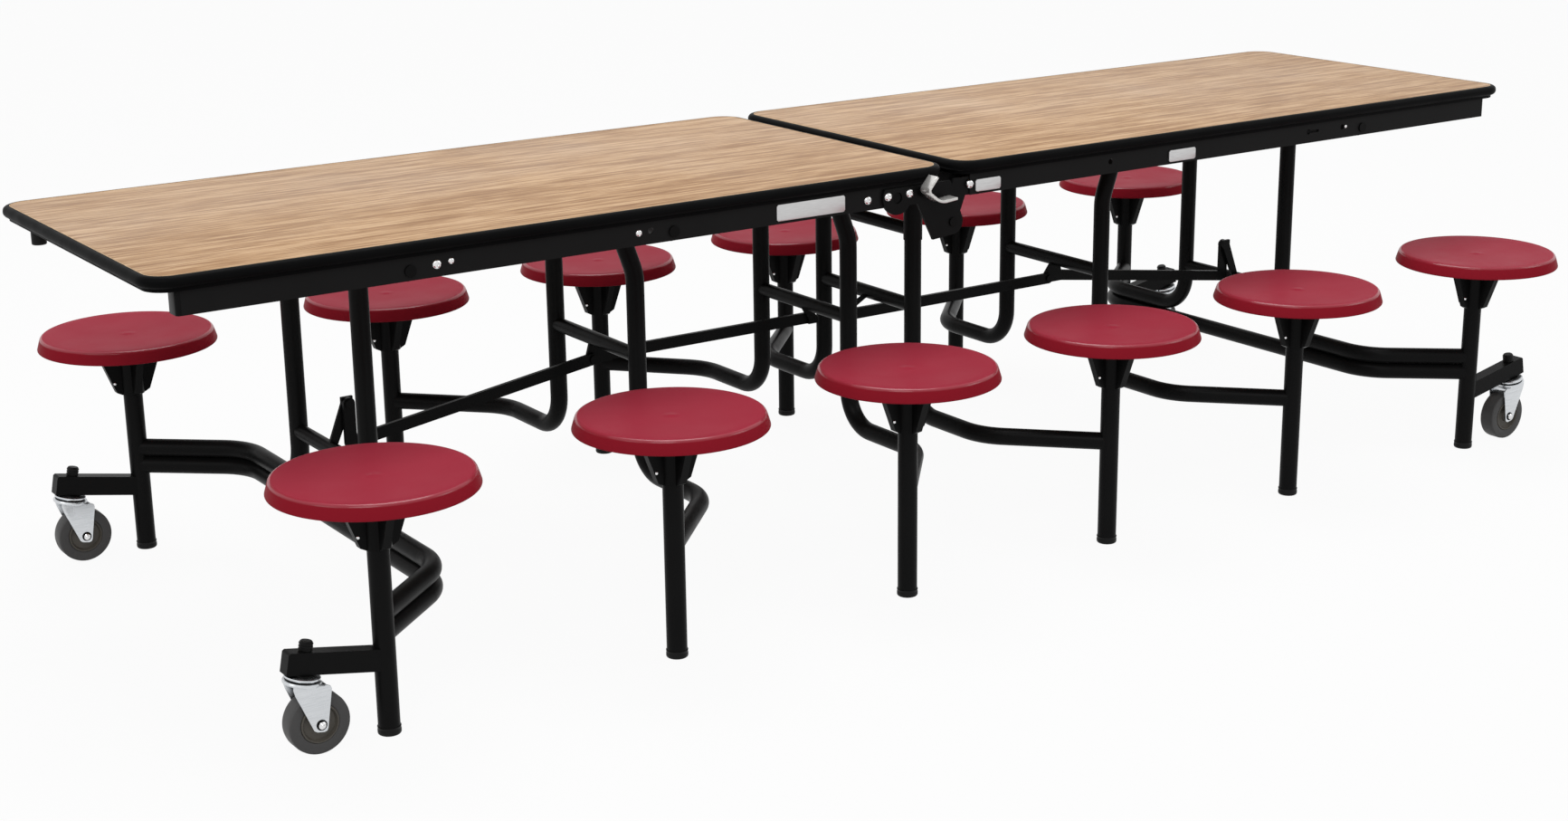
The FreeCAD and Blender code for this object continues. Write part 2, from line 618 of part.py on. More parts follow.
def hinge_pin():
    """Headed pin through the front gusset and the other half's hinge arm."""
    out_y = GUSSET_OUT_Y + HINGE_HEAD
    in_y = HINGE_ARM_IN_Y - LAYER_GAP
    stations = [(HINGE_PIN_D, out_y, in_y - HINGE_HEAD), (HINGE_HEAD_D, out_y, GUSSET_OUT_Y),
                (HINGE_HEAD_D, GUSSET_IN_Y, RAIL_IN_Y + LAYER_GAP), (HINGE_HEAD_D, in_y, in_y - HINGE_HEAD)]
    rounds = []
    for diameter, start_y, end_y in stations:
        rounds.append(cylinder(diameter / 2, vec(0, -start_y, HINGE_Z), vec(0, -end_y, HINGE_Z)))
    return joined(rounds)


def centre_beam():
    """Square beam across the inner end of a top, between the rails."""
    low_x = -BEAM_X - BEAM_SIZE / 2
    end_y = RAIL_OUT_Y - RAIL_FLANGE - LAYER_GAP
    return box(vec(low_x, -end_y, BOARD_Z - BEAM_SIZE), vec(low_x + BEAM_SIZE, end_y, BOARD_Z))


def latch_lever():
    """Bent rod lever on the front gusset that frees the centre lock."""
    z = BOARD_Z - LATCH_DROP
    plate_y = -GUSSET_OUT_Y - LAYER_GAP
    y = plate_y - LATCH_ROD_D / 2
    points = [vec(-LATCH_X, y, z), vec(-LATCH_X + LATCH_REACH / 3, y, z - LATCH_DIP),
              vec(-LATCH_X + LATCH_REACH, y, z - LATCH_DIP)]
    rod = bent_tube(points, [LATCH_REACH / 3], LATCH_ROD_D / 2)
    boss = cylinder(LATCH_BOSS_D / 2, vec(-LATCH_X, plate_y - LATCH_ROD_D, z), vec(-LATCH_X, plate_y, z))
    pin = cylinder(LATCH_PIN_D / 2, vec(-LATCH_X, y, z), vec(-LATCH_X, -GUSSET_IN_Y, z))
    return joined([rod, boss, pin])


def caster_fork():
    """Swivel fork about the stem axis: stem, raceway, crown, two legs and the axle."""
    arm_z = -CASTER_ARM_HEIGHT / 2 - LAYER_GAP
    crown_z = arm_z - FORK_CROWN_DROP
    out_y = FORK_IN_Y + FORK_WALL
    stem = cylinder(STEM_D / 2, vec(0, 0, crown_z), vec(0, 0, CASTER_ARM_HEIGHT / 2 - LAYER_GAP))
    upper = cylinder(RACEWAY_D / 2, vec(0, 0, arm_z - FORK_CROWN_DROP / 2), vec(0, 0, arm_z))
    lower_r = RACEWAY_D / 2 + RACEWAY_FLARE
    lower = cylinder(lower_r, vec(0, 0, crown_z), vec(0, 0, arm_z - FORK_CROWN_DROP / 2))
    crown = box(vec(-FORK_FRONT, -out_y, crown_z - FORK_WALL), vec(FORK_BACK, out_y, crown_z))
    axle_z = -WHEEL_DROP
    shoulder_z = crown_z - FORK_LEG_R
    leg_front = -FORK_LEG_FRONT
    outline = [(leg_front, crown_z), (leg_front, shoulder_z), (CASTER_TRAIL - FORK_LEG_R, axle_z),
               (CASTER_TRAIL + FORK_LEG_R, axle_z), (FORK_BACK, shoulder_z), (FORK_BACK, crown_z)]
    head_y = out_y + AXLE_HEAD
    rounds = [(AXLE_D / 2, -head_y, head_y)]
    pieces = [stem, upper, lower, crown]
    for side in (-1, 1):
        y_low, y_high = sorted((side * FORK_IN_Y, side * out_y))
        pieces.append(plate_xz(outline, y_low, y_high))
        rounds.append((FORK_LEG_R, y_low, y_high))
        rounds.append((AXLE_HEAD_D / 2, side * out_y, side * head_y))
    for radius, start_y, end_y in rounds:
        pieces.append(cylinder(radius, vec(CASTER_TRAIL, start_y, axle_z), vec(CASTER_TRAIL, end_y, axle_z)))
    return on_caster(joined(pieces))


def wheel():
    """Wheel with a tyre, a recessed hub and a bore for the axle."""
    half = WHEEL_WIDTH / 2
    rim_r = WHEEL_R - TYRE_DEPTH
    profile = [(AXLE_D / 2 + RUNNING, -half), (HUB_BOSS_R, -half), (HUB_BOSS_R, -half + HUB_RECESS),
               (rim_r, -half + HUB_RECESS), (rim_r, -half), (WHEEL_R - WHEEL_SHOULDER, -half)]
    shoulder = [(WHEEL_R, -half + WHEEL_SHOULDER), (WHEEL_R, half - WHEEL_SHOULDER)]
    mirrored = [(r, -y) for r, y in reversed(profile)]
    outline = [vec(r, y, 0) for r, y in profile + shoulder + mirrored]
    turned = Part.Face(Part.makePolygon(outline + outline[:1])).revolve(ORIGIN, Y_AXIS, 360)
    turned.translate(vec(CASTER_TRAIL, 0, -WHEEL_DROP))
    return on_caster(turned)


def half_table(frames):
    """Named pieces of one half at the left, without its side name."""
    nodes = {
        "board": board(),
        "edge_band": edge_band(),
        "rails": rails(frames),
        "pivot_bolts": pivot_bolts(frames),
        "hinge_plates": hinge_plates(frames),
        "hinge_pin": hinge_pin(),
        "centre_beam": centre_beam(),
        "outer_bar": tie_bar(frames[0], frames[1], -1),
        "inner_bar": tie_bar(frames[1], frames[2], 1),
    }
    stool_seat = seat()
    socket = seat_bracket()
    for name, position in zip(LEFT_FRAMES, frames):
        nodes[name + "_frame"] = leg_frame(position)
        nodes[name + "_posts"] = posts(position)
        nodes[name + "_feet"] = feet(position)
        nodes[name + "_seats"] = on_posts(stool_seat, position)
        nodes[name + "_seat_brackets"] = on_posts(socket, position)
    for name, shape in (("caster_fork", caster_fork()), ("wheel", wheel())):
        nodes["front_" + name] = shape
        nodes["back_" + name] = at_back(shape)
    return nodes


def right_name(name):
    """Name of a turned piece: what was at the front of the left half is at the back of the right."""
    if name.startswith("front_"):
        return "back_" + name[len("front_"):]
    if name.startswith("back_"):
        return "front_" + name[len("back_"):]
    return name


def main():
    os.makedirs("parts", exist_ok=True)
    nodes = {"latch_lever": latch_lever()}
    for name, shape in half_table(LEFT_FRAMES).items():
        nodes["left_" + name] = shape
    for name, shape in half_table(RIGHT_FRAMES).items():
        nodes["right_" + right_name(name)] = for_right_half(shape)
    for name, shape in nodes.items():
        shape.exportStep("parts/" + name + ".step")
        print(name, len(shape.Solids), "solids", round(shape.Volume / 1000, 1), "cm3")


main()
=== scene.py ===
"""Looks of the folding mobile cafeteria table: finishes, moulded seats, casters and fittings.

Sizes are metres in the table's own frame: X along its length, -Y towards the viewer, Z up.
"""
import logging
import math
from dataclasses import dataclass
from enum import Enum
from itertools import product
from typing import Optional, Sequence

import bpy
from mathutils import Matrix, Vector


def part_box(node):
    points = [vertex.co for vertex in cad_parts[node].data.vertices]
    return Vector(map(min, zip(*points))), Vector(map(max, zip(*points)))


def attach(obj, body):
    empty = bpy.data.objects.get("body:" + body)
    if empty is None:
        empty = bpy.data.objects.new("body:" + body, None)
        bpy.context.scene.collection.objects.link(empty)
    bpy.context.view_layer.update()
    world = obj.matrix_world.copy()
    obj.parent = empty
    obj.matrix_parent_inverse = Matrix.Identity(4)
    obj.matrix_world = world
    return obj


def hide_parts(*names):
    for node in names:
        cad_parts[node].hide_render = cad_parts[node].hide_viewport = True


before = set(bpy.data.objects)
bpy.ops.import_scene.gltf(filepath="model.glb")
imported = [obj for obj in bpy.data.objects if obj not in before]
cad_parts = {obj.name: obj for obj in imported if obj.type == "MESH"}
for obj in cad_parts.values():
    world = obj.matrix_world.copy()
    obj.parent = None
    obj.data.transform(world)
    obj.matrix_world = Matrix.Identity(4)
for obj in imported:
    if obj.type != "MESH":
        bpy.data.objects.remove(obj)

LOG = logging.getLogger("cafeteria_table")
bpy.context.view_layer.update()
RAIL_FACE = 0.356
RAIL_WALL = 0.003
START_SIZE = 0.01
WELD_DISTANCE = 1e-5
SMOOTH_ANGLE = math.radians(32)
BEVEL_ANGLE = math.radians(40)
WHITE = (1.0, 1.0, 1.0, 1.0)
STRAIGHT = Matrix.Identity(4)
HALF_TURN = Matrix.Rotation(math.pi, 4, "Z")
Z_TO_FRONT = Matrix.Rotation(math.pi / 2, 4, "X")

Colour = tuple[float, float, float]
Place = tuple[float, float, float]
Point = tuple[float, float]
Span = tuple[float, float]
Section = tuple[Point, ...]
Node = bpy.types.Node
Piece = bpy.types.Object
Socket = bpy.types.NodeSocket


class Named(Enum):
    """Option whose name is part of node and body names."""

    @property
    def word(self) -> str:
        """Lower-case name."""
        return self.name.lower()


class Side(Named):
    """Half of the table, with the sign of its X."""

    LEFT = -1
    RIGHT = 1

    @property
    def top(self) -> str:
        """Body of this half's top."""
        return f"{self.word}_top"

    @property
    def other(self) -> "Side":
        """The half across the centre hinge."""
        return Side(-self.value)

    @property
    def turn(self) -> Matrix:
        """Turn from the left half to this half."""
        return HALF_TURN if self is Side.RIGHT else STRAIGHT


class Row(Named):
    """Row of stools, with its Y."""

    FRONT = -0.541
    BACK = 0.541


class Station(Named):
    """Leg frame along a half, with the distance of its stools from the centre."""

    OUTER = 1.268
    MIDDLE = 0.733
    INNER = 0.241


class Effect(Enum):
    """Shared surface effects, one shader node group each."""

    GRAIN = "drawn_out_grain"
    CLOUD = "soft_cloud"
    STIPPLE = "moulded_stipple"


@dataclass
class Graph:
    """A node tree being wired."""

    tree: bpy.types.NodeTree

    def add(self, kind: str, values: Optional[dict] = None, **settings: object) -> Node:
        """Add a node.

        Args:
            kind: Blender's node type.
            values: Numbers, colours or output sockets for the named or numbered inputs.
            settings: Attributes of the node itself.

        Returns:
            The new node.
        """
        node = self.tree.nodes.new(kind)
        for name, value in settings.items():
            setattr(node, name, value)
        for name, value in (values or {}).items():
            self.feed(node.inputs[name], value)
        return node

    def feed(self, socket: Socket, value: object) -> None:
        """Link an output socket to an input, or set a constant on it.

        Args:
            socket: The input.
            value: Output socket, number or colour.
        """
        if isinstance(value, Socket):
            self.tree.links.new(value, socket)
        else:
            socket.default_value = value

    def math(self, operation: str, first: object, second: object) -> Socket:
        """Combine two values and return the result's socket."""
        return self.add("ShaderNodeMath", {0: first, 1: second}, operation=operation).outputs[0]

    def remap(self, value: Socket, source: Span, low: object = 0.0, high: object = 1.0) -> Socket:
        """Spread a value from its own range over another one and return the result's socket."""
        ends = {"From Min": source[0], "From Max": source[1], "To Min": low, "To Max": high}
        return self.add("ShaderNodeMapRange", {"Value": value, **ends}).outputs[0]

    def noise(self, place: Socket, scale: object, detail: object, roughness: float,
              distortion: float = 0.0) -> Socket:
        """Add noise at a place and return its value's socket."""
        grades = {"Scale": scale, "Detail": detail, "Roughness": roughness, "Distortion": distortion}
        return self.add("ShaderNodeTexNoise", {"Vector": place, **grades}).outputs[0]

    def ramp(self, value: Socket, stops: Sequence[tuple[float, Colour]]) -> Socket:
        """Turn a value into a colour.

        Args:
            value: Socket that runs from 0 to 1.
            stops: Places and linear colours along the ramp.

        Returns:
            The colour socket.
        """
        node = self.add("ShaderNodeValToRGB", {"Fac": value})
        elements = node.color_ramp.elements
        while len(elements) < len(stops):
            elements.new(0.5)
        for element, (place, colour) in zip(elements, stops):
            element.position = place
            element.color = (*colour, 1.0)
        return node.outputs["Color"]


class EffectGroups:
    """Builds each shared shader node group once."""

    made: dict[Effect, bpy.types.NodeTree] = {}
    cloud_range: Span = (0.3, 0.7)
    pimple_top: float = 0.62

    @classmethod
    def tree(cls, effect: Effect) -> bpy.types.NodeTree:
        """Find an effect's node group, or make it on first use.

        Args:
            effect: Which effect.

        Returns:
            Its tree, with a place, the effect's own numbers and one value out.
        """
        if effect not in cls.made:
            wire, numbers = {
                Effect.GRAIN: (cls.grain, ("Along", "Across", "Detail")),
                Effect.CLOUD: (cls.cloud, ("Scale", "Low", "High")),
                Effect.STIPPLE: (cls.stipple, ("Scale", "Detail")),
            }[effect]
            tree = bpy.data.node_groups.new(effect.value, "ShaderNodeTree")
            tree.interface.new_socket("Place", in_out="INPUT", socket_type="NodeSocketVector")
            for name in numbers:
                tree.interface.new_socket(name, in_out="INPUT", socket_type="NodeSocketFloat")
            tree.interface.new_socket("Value", in_out="OUTPUT", socket_type="NodeSocketFloat")
            graph = Graph(tree)
            given = graph.add("NodeGroupInput")
            graph.add("NodeGroupOutput", {"Value": wire(graph, given.outputs)})
            cls.made[effect] = tree
        return cls.made[effect]

    @staticmethod
    def grain(graph: Graph, given: bpy.types.NodeOutputs) -> Socket:
        """Wire noise that is drawn out along X.

        Args:
            graph: The group's graph.
            given: The group's inputs.

        Returns:
            The noise's value.
        """
        along, across = given["Along"], given["Across"]
        stretch = graph.add("ShaderNodeCombineXYZ", {"X": along, "Y": across, "Z": across}).outputs[0]
        drawn = graph.add("ShaderNodeVectorMath", {0: given["Place"], 1: stretch}, operation="MULTIPLY")
        return graph.noise(drawn.outputs[0], 1.0, given["Detail"], roughness=0.6, distortion=0.12)

    @classmethod
    def cloud(cls, graph: Graph, given: bpy.types.NodeOutputs) -> Socket:
        """Wire broad soft noise between two levels and return its value."""
        noise = graph.noise(given["Place"], given["Scale"], detail=3.0, roughness=0.55)
        return graph.remap(noise, cls.cloud_range, given["Low"], given["High"])

    @classmethod
    def stipple(cls, graph: Graph, given: bpy.types.NodeOutputs) -> Socket:
        """Wire fine rounded pimples and return their height."""
        noise = graph.noise(given["Place"], given["Scale"], given["Detail"], roughness=0.5)
        return graph.math("SMOOTH_MIN", noise, cls.pimple_top)


@dataclass
class Surface(Graph):
    """A material's node tree, with its shader and the piece's own coordinates."""

    def __post_init__(self) -> None:
        """Find the shader and add the coordinates."""
        self.shader = self.tree.nodes["Principled BSDF"]
        self.place = self.add("ShaderNodeTexCoord").outputs["Object"]

    def effect(self, effect: Effect, **numbers: float) -> Socket:
        """Place a shared effect with its own numbers and return its value's socket."""
        values = {"Place": self.place, **numbers}
        return self.add("ShaderNodeGroup", values, node_tree=EffectGroups.tree(effect)).outputs[0]

    def drive(self, name: str, value: object) -> None:
        """Link a socket to the shader's named input, or set a constant on it."""
        self.feed(self.shader.inputs[name], value)


@dataclass(frozen=True)
class Finish:
    """A surface with a colour, a gloss that varies softly and a fine relief."""

    name: str
    slot: str
    colour: Colour
    shade: Colour
    roughness: Span
    metallic: float = 0.0
    specular: float = 0.5
    cloud_scale: float = 9.0
    gloss_scale: float = 2.7
    relief_scale: float = 700.0
    relief_detail: float = 2.0
    relief_depth: float = 0.00002
    relief_strength: float = 0.25

    def material(self) -> bpy.types.Material:
        """Find this finish's material, or wire it on first use.

        Returns:
            The material.
        """
        material = bpy.data.materials.get(self.name)
        if material is None:
            material = bpy.data.materials.new(self.name)
            material.use_nodes = True
            surface = Surface(material.node_tree)
            surface.drive("Metallic", self.metallic)
            surface.drive("Specular IOR Level", self.specular)
            self.dress(surface)
        return material

    def dress(self, surface: Surface) -> None:
        """Drive colour, roughness and normal.

        Args:
            surface: The material's surface.
        """
        tone = surface.effect(Effect.CLOUD, Scale=self.cloud_scale, Low=0.0, High=1.0)
        surface.drive("Base Color", surface.ramp(tone, ((0.0, self.shade), (1.0, self.colour))))
        self.gloss(surface, self.cloud_scale * self.gloss_scale)
        pimples = surface.effect(Effect.STIPPLE, Scale=self.relief_scale, Detail=self.relief_detail)
        self.bump(surface, pimples)

    def gloss(self, surface: Surface, scale: float) -> None:
        """Let the roughness vary in soft clouds of a scale."""
        low, high = self.roughness
        surface.drive("Roughness", surface.effect(Effect.CLOUD, Scale=scale, Low=low, High=high))

    def bump(self, surface: Surface, height: Socket) -> None:
        """Drive the normal from a height."""
        relief = {"Height": height, "Strength": self.relief_strength, "Distance": self.relief_depth}
        surface.drive("Normal", surface.add("ShaderNodeBump", relief).outputs[0])

    def put_on(self, piece: Piece) -> None:
        """Give a piece this finish as its only material."""
        piece.data.materials.clear()
        piece.data.materials.append(self.material())


@dataclass(frozen=True)
class WoodLaminate(Finish):
    """Printed wood laminate with straight grain along the table.

    Each layer of grain has its frequency along and across, its detail and its weight.
    """

    light: Colour = (0.535, 0.35, 0.198)
    dark: Colour = (0.25, 0.124, 0.046)
    stops: tuple[float, float, float, float] = (0.443, 0.489, 0.521, 0.569)
    layers: tuple[tuple[float, float, float, float], ...] = (
        (1.3, 20.0, 4.0, 0.08), (3.8, 70.0, 4.0, 0.28), (8.0, 180.0, 3.0, 0.4), (20.0, 540.0, 2.0, 0.24))

    def dress(self, surface: Surface) -> None:
        """Drive colour, roughness and normal from the layers of grain.

        Args:
            surface: The material's surface.
        """
        tone: object = 0.0
        for along, across, detail, weight in self.layers:
            grain = surface.effect(Effect.GRAIN, Along=along, Across=across, Detail=detail)
            tone = surface.math("ADD", tone, surface.math("MULTIPLY", grain, weight))
        colours = (self.dark, self.shade, self.colour, self.light)
        surface.drive("Base Color", surface.ramp(tone, tuple(zip(self.stops, colours))))
        self.gloss(surface, self.cloud_scale)
        self.bump(surface, grain)


@dataclass(frozen=True)
class BrushedMetal(Finish):
    """Plated or bare metal with fine lines along X."""

    lines: float = 900.0
    stretch: float = 30.0
    line_tones: Span = (0.3, 0.7)

    def dress(self, surface: Surface) -> None:
        """Drive colour, roughness and normal from fine lines.

        Args:
            surface: The material's surface.
        """
        grain = surface.effect(Effect.GRAIN, Along=self.lines / self.stretch, Across=self.lines,
                               Detail=self.relief_detail)
        colours = (self.shade, self.colour)
        surface.drive("Base Color", surface.ramp(grain, tuple(zip(self.line_tones, colours))))
        self.gloss(surface, self.cloud_scale)
        self.bump(surface, grain)


@dataclass(frozen=True)
class MouldedSeat(Finish):
    """Moulded plastic with a satin face, a polished crest and a side darkened with painted shade.

    The crest lies between two ranges of the normal's Z: above the side and below the face.
    """

    # side: the darker colour of the steep side, painted shade for the light that falls less on it than on
    # the face.
    side: Colour = (0.262, 0.0115, 0.022)
    polish: float = 0.65
    polish_roughness: float = 0.16
    side_end: Span = (0.34, 0.5)
    face_start: Span = (0.92, 0.985)

    def dress(self, surface: Surface) -> None:
        """Dress as any moulding, then paint shade on the side by the slope of the normal and polish the
        rounding below the face.

        Args:
            surface: The material's surface.
        """
        super().dress(surface)
        surface.drive("Coat Roughness", self.polish_roughness)
        normal = surface.add("ShaderNodeNewGeometry").outputs["Normal"]
        slope = surface.add("ShaderNodeSeparateXYZ", {0: normal}).outputs["Z"]
        above = surface.remap(slope, self.side_end, 0.0, self.polish)
        below = surface.remap(slope, self.face_start, 1.0, 0.0)
        surface.drive("Coat Weight", surface.math("MULTIPLY", above, below))
        # Painted shade: the colour turns from the face's to the darker side colour as the normal tilts from
        # up to sideways.
        painted_shade_blend = surface.remap(slope, (self.side_end[0], self.face_start[0]))
        face = surface.shader.inputs["Base Color"].links[0].from_socket
        mixed = surface.add("ShaderNodeMix", {0: painted_shade_blend, 6: (*self.side, 1.0), 7: face}, data_type="RGBA")
        surface.drive("Base Color", mixed.outputs[2])


LAMINATE = WoodLaminate(
    "oak_laminate", "laminate", (0.425, 0.256, 0.127), (0.36, 0.203, 0.091), (0.36, 0.46), specular=0.18,
    cloud_scale=3.0, relief_depth=0.00003, relief_strength=0.2)
LAMINATE_LINE = Finish(
    "laminate_edge_line", "laminate", (0.56, 0.4, 0.235), (0.5, 0.345, 0.2), (0.4, 0.5), specular=0.1,
    cloud_scale=30.0)
EDGE_BAND = Finish(
    "edge_band_black", "edge_black", (0.0048, 0.0049, 0.0051), (0.0036, 0.0037, 0.0039), (0.4, 0.5),
    specular=0.02, relief_scale=900.0)
POWDER_COAT = Finish(
    "black_powder_coat", "frame_black", (0.0074, 0.0074, 0.0075), (0.0062, 0.0062, 0.0063), (0.32, 0.4),
    specular=0.05, relief_scale=420.0, relief_depth=0.00004, relief_strength=0.2)
RAIL_COAT = Finish(
    "rail_powder_coat", "frame_black", (0.0118, 0.0118, 0.0119), (0.0102, 0.0102, 0.0103), (0.34, 0.44),
    specular=0.05, relief_scale=420.0, relief_depth=0.00004, relief_strength=0.2)
BLACK_BOLT = Finish(
    "black_oxide_bolt", "bolt_black", (0.004, 0.004, 0.004), (0.003, 0.003, 0.003), (0.35, 0.5),
    specular=0.06)
FOOT_BLACK = Finish(
    "foot_cap_black", "foot_plastic", (0.0038, 0.0038, 0.0038), (0.003, 0.003, 0.003), (0.42, 0.55),
    specular=0.15)
BRACKET_BLACK = Finish(
    "seat_bracket_black", "bracket_black", (0.003, 0.003, 0.003), (0.0022, 0.0022, 0.0022), (0.32, 0.44),
    specular=0.07, relief_scale=500.0)
# Maroon seat whose colour and shade also carry a faint even white: painted sheen for the satin gloss, with
# the specular turned almost off.
SEAT_RED = MouldedSeat(
    "maroon_seat", "seat_red", (0.315, 0.028, 0.048), (0.295, 0.0255, 0.044), (0.34, 0.42), specular=0.01,
    cloud_scale=5.0, relief_scale=450.0, relief_strength=0.06)
ZINC = BrushedMetal(
    "bright_zinc", "zinc", (0.68, 0.7, 0.72), (0.56, 0.58, 0.6), (0.2, 0.32), metallic=1.0,
    relief_depth=0.00001, relief_strength=0.12)
BARE_PLATE = BrushedMetal(
    "bare_plate", "zinc", (0.64, 0.64, 0.64), (0.52, 0.52, 0.52), (0.3, 0.42), metallic=0.85, lines=1500.0,
    relief_depth=0.00001, relief_strength=0.15)
CHROME = Finish(
    "chrome_screw", "chrome", (0.78, 0.78, 0.78), (0.7, 0.7, 0.7), (0.08, 0.16), metallic=1.0,
    relief_strength=0.05)
PLATED_LEVER = BrushedMetal(
    "plated_lever", "chrome", (0.72, 0.71, 0.69), (0.56, 0.55, 0.53), (0.2, 0.3), metallic=0.7, lines=500.0,
    relief_depth=0.00001, relief_strength=0.1)
TYRE_GREY = Finish(
    "grey_tyre", "tyre_grey", (0.075, 0.074, 0.074), (0.062, 0.061, 0.061), (0.48, 0.6), specular=0.25,
    relief_scale=600.0)
HUB_GREY = Finish(
    "grey_brown_hub", "tyre_grey", (0.095, 0.086, 0.072), (0.08, 0.072, 0.06), (0.34, 0.46), specular=0.3)


def clear() -> None:
    """Leave edit mode with nothing selected."""
    if bpy.context.mode != "OBJECT":
        bpy.ops.object.mode_set(mode="OBJECT")
    bpy.ops.object.select_all(action="DESELECT")


def pick(*pieces: Piece) -> None:
    """Select these pieces alone, with the first one active."""
    clear()
    for piece in pieces:
        piece.select_set(True)
    bpy.context.view_layer.objects.active = pieces[0]


def named(piece: Piece, name: str) -> Piece:
    """Name a piece and its mesh and return it."""
    piece.name = piece.data.name = name
    return piece


def chain(name: str, points: Sequence[Vector]) -> Piece:
    """Draw a chain of edges through points and stay in edit mode.

    Args:
        name: The new object's name.
        points: The chain's vertices in order.

    Returns:
        The object, in edit mode with its whole mesh selected.
    """
    clear()
    bpy.ops.mesh.primitive_plane_add(size=START_SIZE, location=(0, 0, 0))
    piece = named(bpy.context.object, name)
    bpy.ops.object.mode_set(mode="EDIT")
    bpy.ops.mesh.select_all(action="SELECT")
    bpy.ops.mesh.merge(type="CENTER")
    bpy.ops.transform.translate(value=points[0])
    for start, end in zip(points, points[1:]):
        bpy.ops.mesh.extrude_region_move(TRANSFORM_OT_translate={"value": end - start})
    bpy.ops.mesh.select_all(action="SELECT")
    return piece


def finished(piece: Piece) -> Piece:
    """Turn an edited mesh's faces outwards and shade it smooth.

    Args:
        piece: The piece, in edit mode.

    Returns:
        The same piece, in object mode.
    """
    bpy.ops.mesh.select_all(action="SELECT")
    bpy.ops.mesh.normals_make_consistent(inside=False)
    pick(piece)
    bpy.ops.object.shade_smooth_by_angle(angle=SMOOTH_ANGLE)
    return piece


def lathe(name: str, profile: Sequence[Point], steps: int, level: float = 0.0) -> Piece:
    """Turn a profile about Z.

    Args:
        name: The new object's name.
        profile: Radius and height of each point, from one end to the other.
        steps: Divisions round the axis.
        level: Z that its heights start from.

    Returns:
        The closed, smooth-shaded piece about the Z axis.
    """
    piece = chain(name, [Vector((radius, 0, height + level)) for radius, height in profile])
    bpy.ops.mesh.spin(steps=steps, angle=2 * math.pi, center=(0, 0, 0), axis=(0, 0, 1))
    bpy.ops.mesh.select_all(action="SELECT")
    bpy.ops.mesh.remove_doubles(threshold=WELD_DISTANCE)
    return finished(piece)


def arc(centre: Point, radius: float, start: float, end: float, steps: int) -> list[Point]:
    """Return points along an arc of a profile, between two angles in degrees."""
    turns = [math.radians(start + (end - start) * step / steps) for step in range(steps + 1)]
    return [(centre[0] + radius * math.cos(turn), centre[1] + radius * math.sin(turn)) for turn in turns]


def moved(points: Sequence[Point], right: float, up: float) -> list[Point]:
    """Return points of a profile or an outline, moved."""
    return [(x + right, z + up) for x, z in points]


def mirrored(side: Sequence[Point]) -> list[Point]:
    """Return half of an outline followed by its mirror image, in order."""
    return [*side, *((x, -z) for x, z in reversed(side))]


def closed(side: Sequence[Point]) -> list[Point]:
    """Return half of an outline, its mirror image and its first point again."""
    return [*mirrored(side), side[0]]


def rounded(corners: Sequence[Point], radii: Sequence[float], steps: int = 8) -> list[Point]:
    """Round the inner corners of an open path.

    Args:
        corners: The path's corners in order.
        radii: Radius at each corner but the first and the last.
        steps: Steps round a corner.

    Returns:
        The path's points, with each corner as an arc.
    """
    path = [corners[0]]
    for before, corner, after, radius in zip(corners, corners[1:], corners[2:], radii):
        middle = Vector(corner)
        inward = (middle - Vector(before)).normalized()
        onward = (Vector(after) - middle).normalized()
        turn = inward.angle_signed(onward)
        start = middle - inward * radius * math.tan(abs(turn) / 2)
        normal = Vector((inward.y, -inward.x)) * math.copysign(1.0, turn)
        for step in range(steps + 1):
            swung = Matrix.Rotation(-turn * step / steps, 2) @ -normal
            path.append(tuple(start + normal * radius + swung * radius))
    return [*path, corners[-1]]


def sheet(name: str, outline: Sequence[Vector], thickness: float, bevel: float, segments: int = 2) -> Piece:
    """Cut a plate from an outline.

    Args:
        name: The new object's name.
        outline: Corners in order, in one plane.
        thickness: Thickness, half on each side of the outline.
        bevel: Width of its rounded edges.
        segments: Steps across a rounded edge.

    Returns:
        The plate.
    """
    piece = chain(name, outline)
    bpy.ops.mesh.edge_face_add()
    modifier(piece, "SOLIDIFY", thickness=thickness, offset=0.0)
    modifier(piece, "BEVEL", width=bevel, segments=segments, limit_method="ANGLE", angle_limit=BEVEL_ANGLE)
    bpy.ops.object.mode_set(mode="EDIT")
    return finished(piece)


def ring(name: str, outline: Sequence[Vector], width: float, thickness: float, bevel: float) -> Piece:
    """Cut a level frame of even width with rounded outer edges.

    Args:
        name: The new object's name.
        outline: Its outer corners in order, at the middle of its thickness.
        width: Width from its outer to its inner edge.
        thickness: Its height.
        bevel: Radius of its outer edges.

    Returns:
        The frame.
    """
    piece = sheet(name, outline, thickness, bevel, segments=6)
    broadest = max(face.area for face in piece.data.polygons)
    bpy.ops.object.mode_set(mode="EDIT")
    bpy.ops.mesh.select_mode(type="FACE")
    bpy.ops.mesh.select_all(action="DESELECT")
    bpy.ops.object.mode_set(mode="OBJECT")
    for face in piece.data.polygons:
        face.select = face.area > broadest / 2
    bpy.ops.object.mode_set(mode="EDIT")
    bpy.ops.mesh.inset(thickness=width - bevel)
    bpy.ops.mesh.delete(type="FACE")
    bpy.ops.mesh.select_mode(type="EDGE")
    bpy.ops.mesh.select_non_manifold()
    bpy.ops.mesh.bridge_edge_loops()
    bpy.ops.mesh.select_mode(type="VERT")
    return finished(piece)


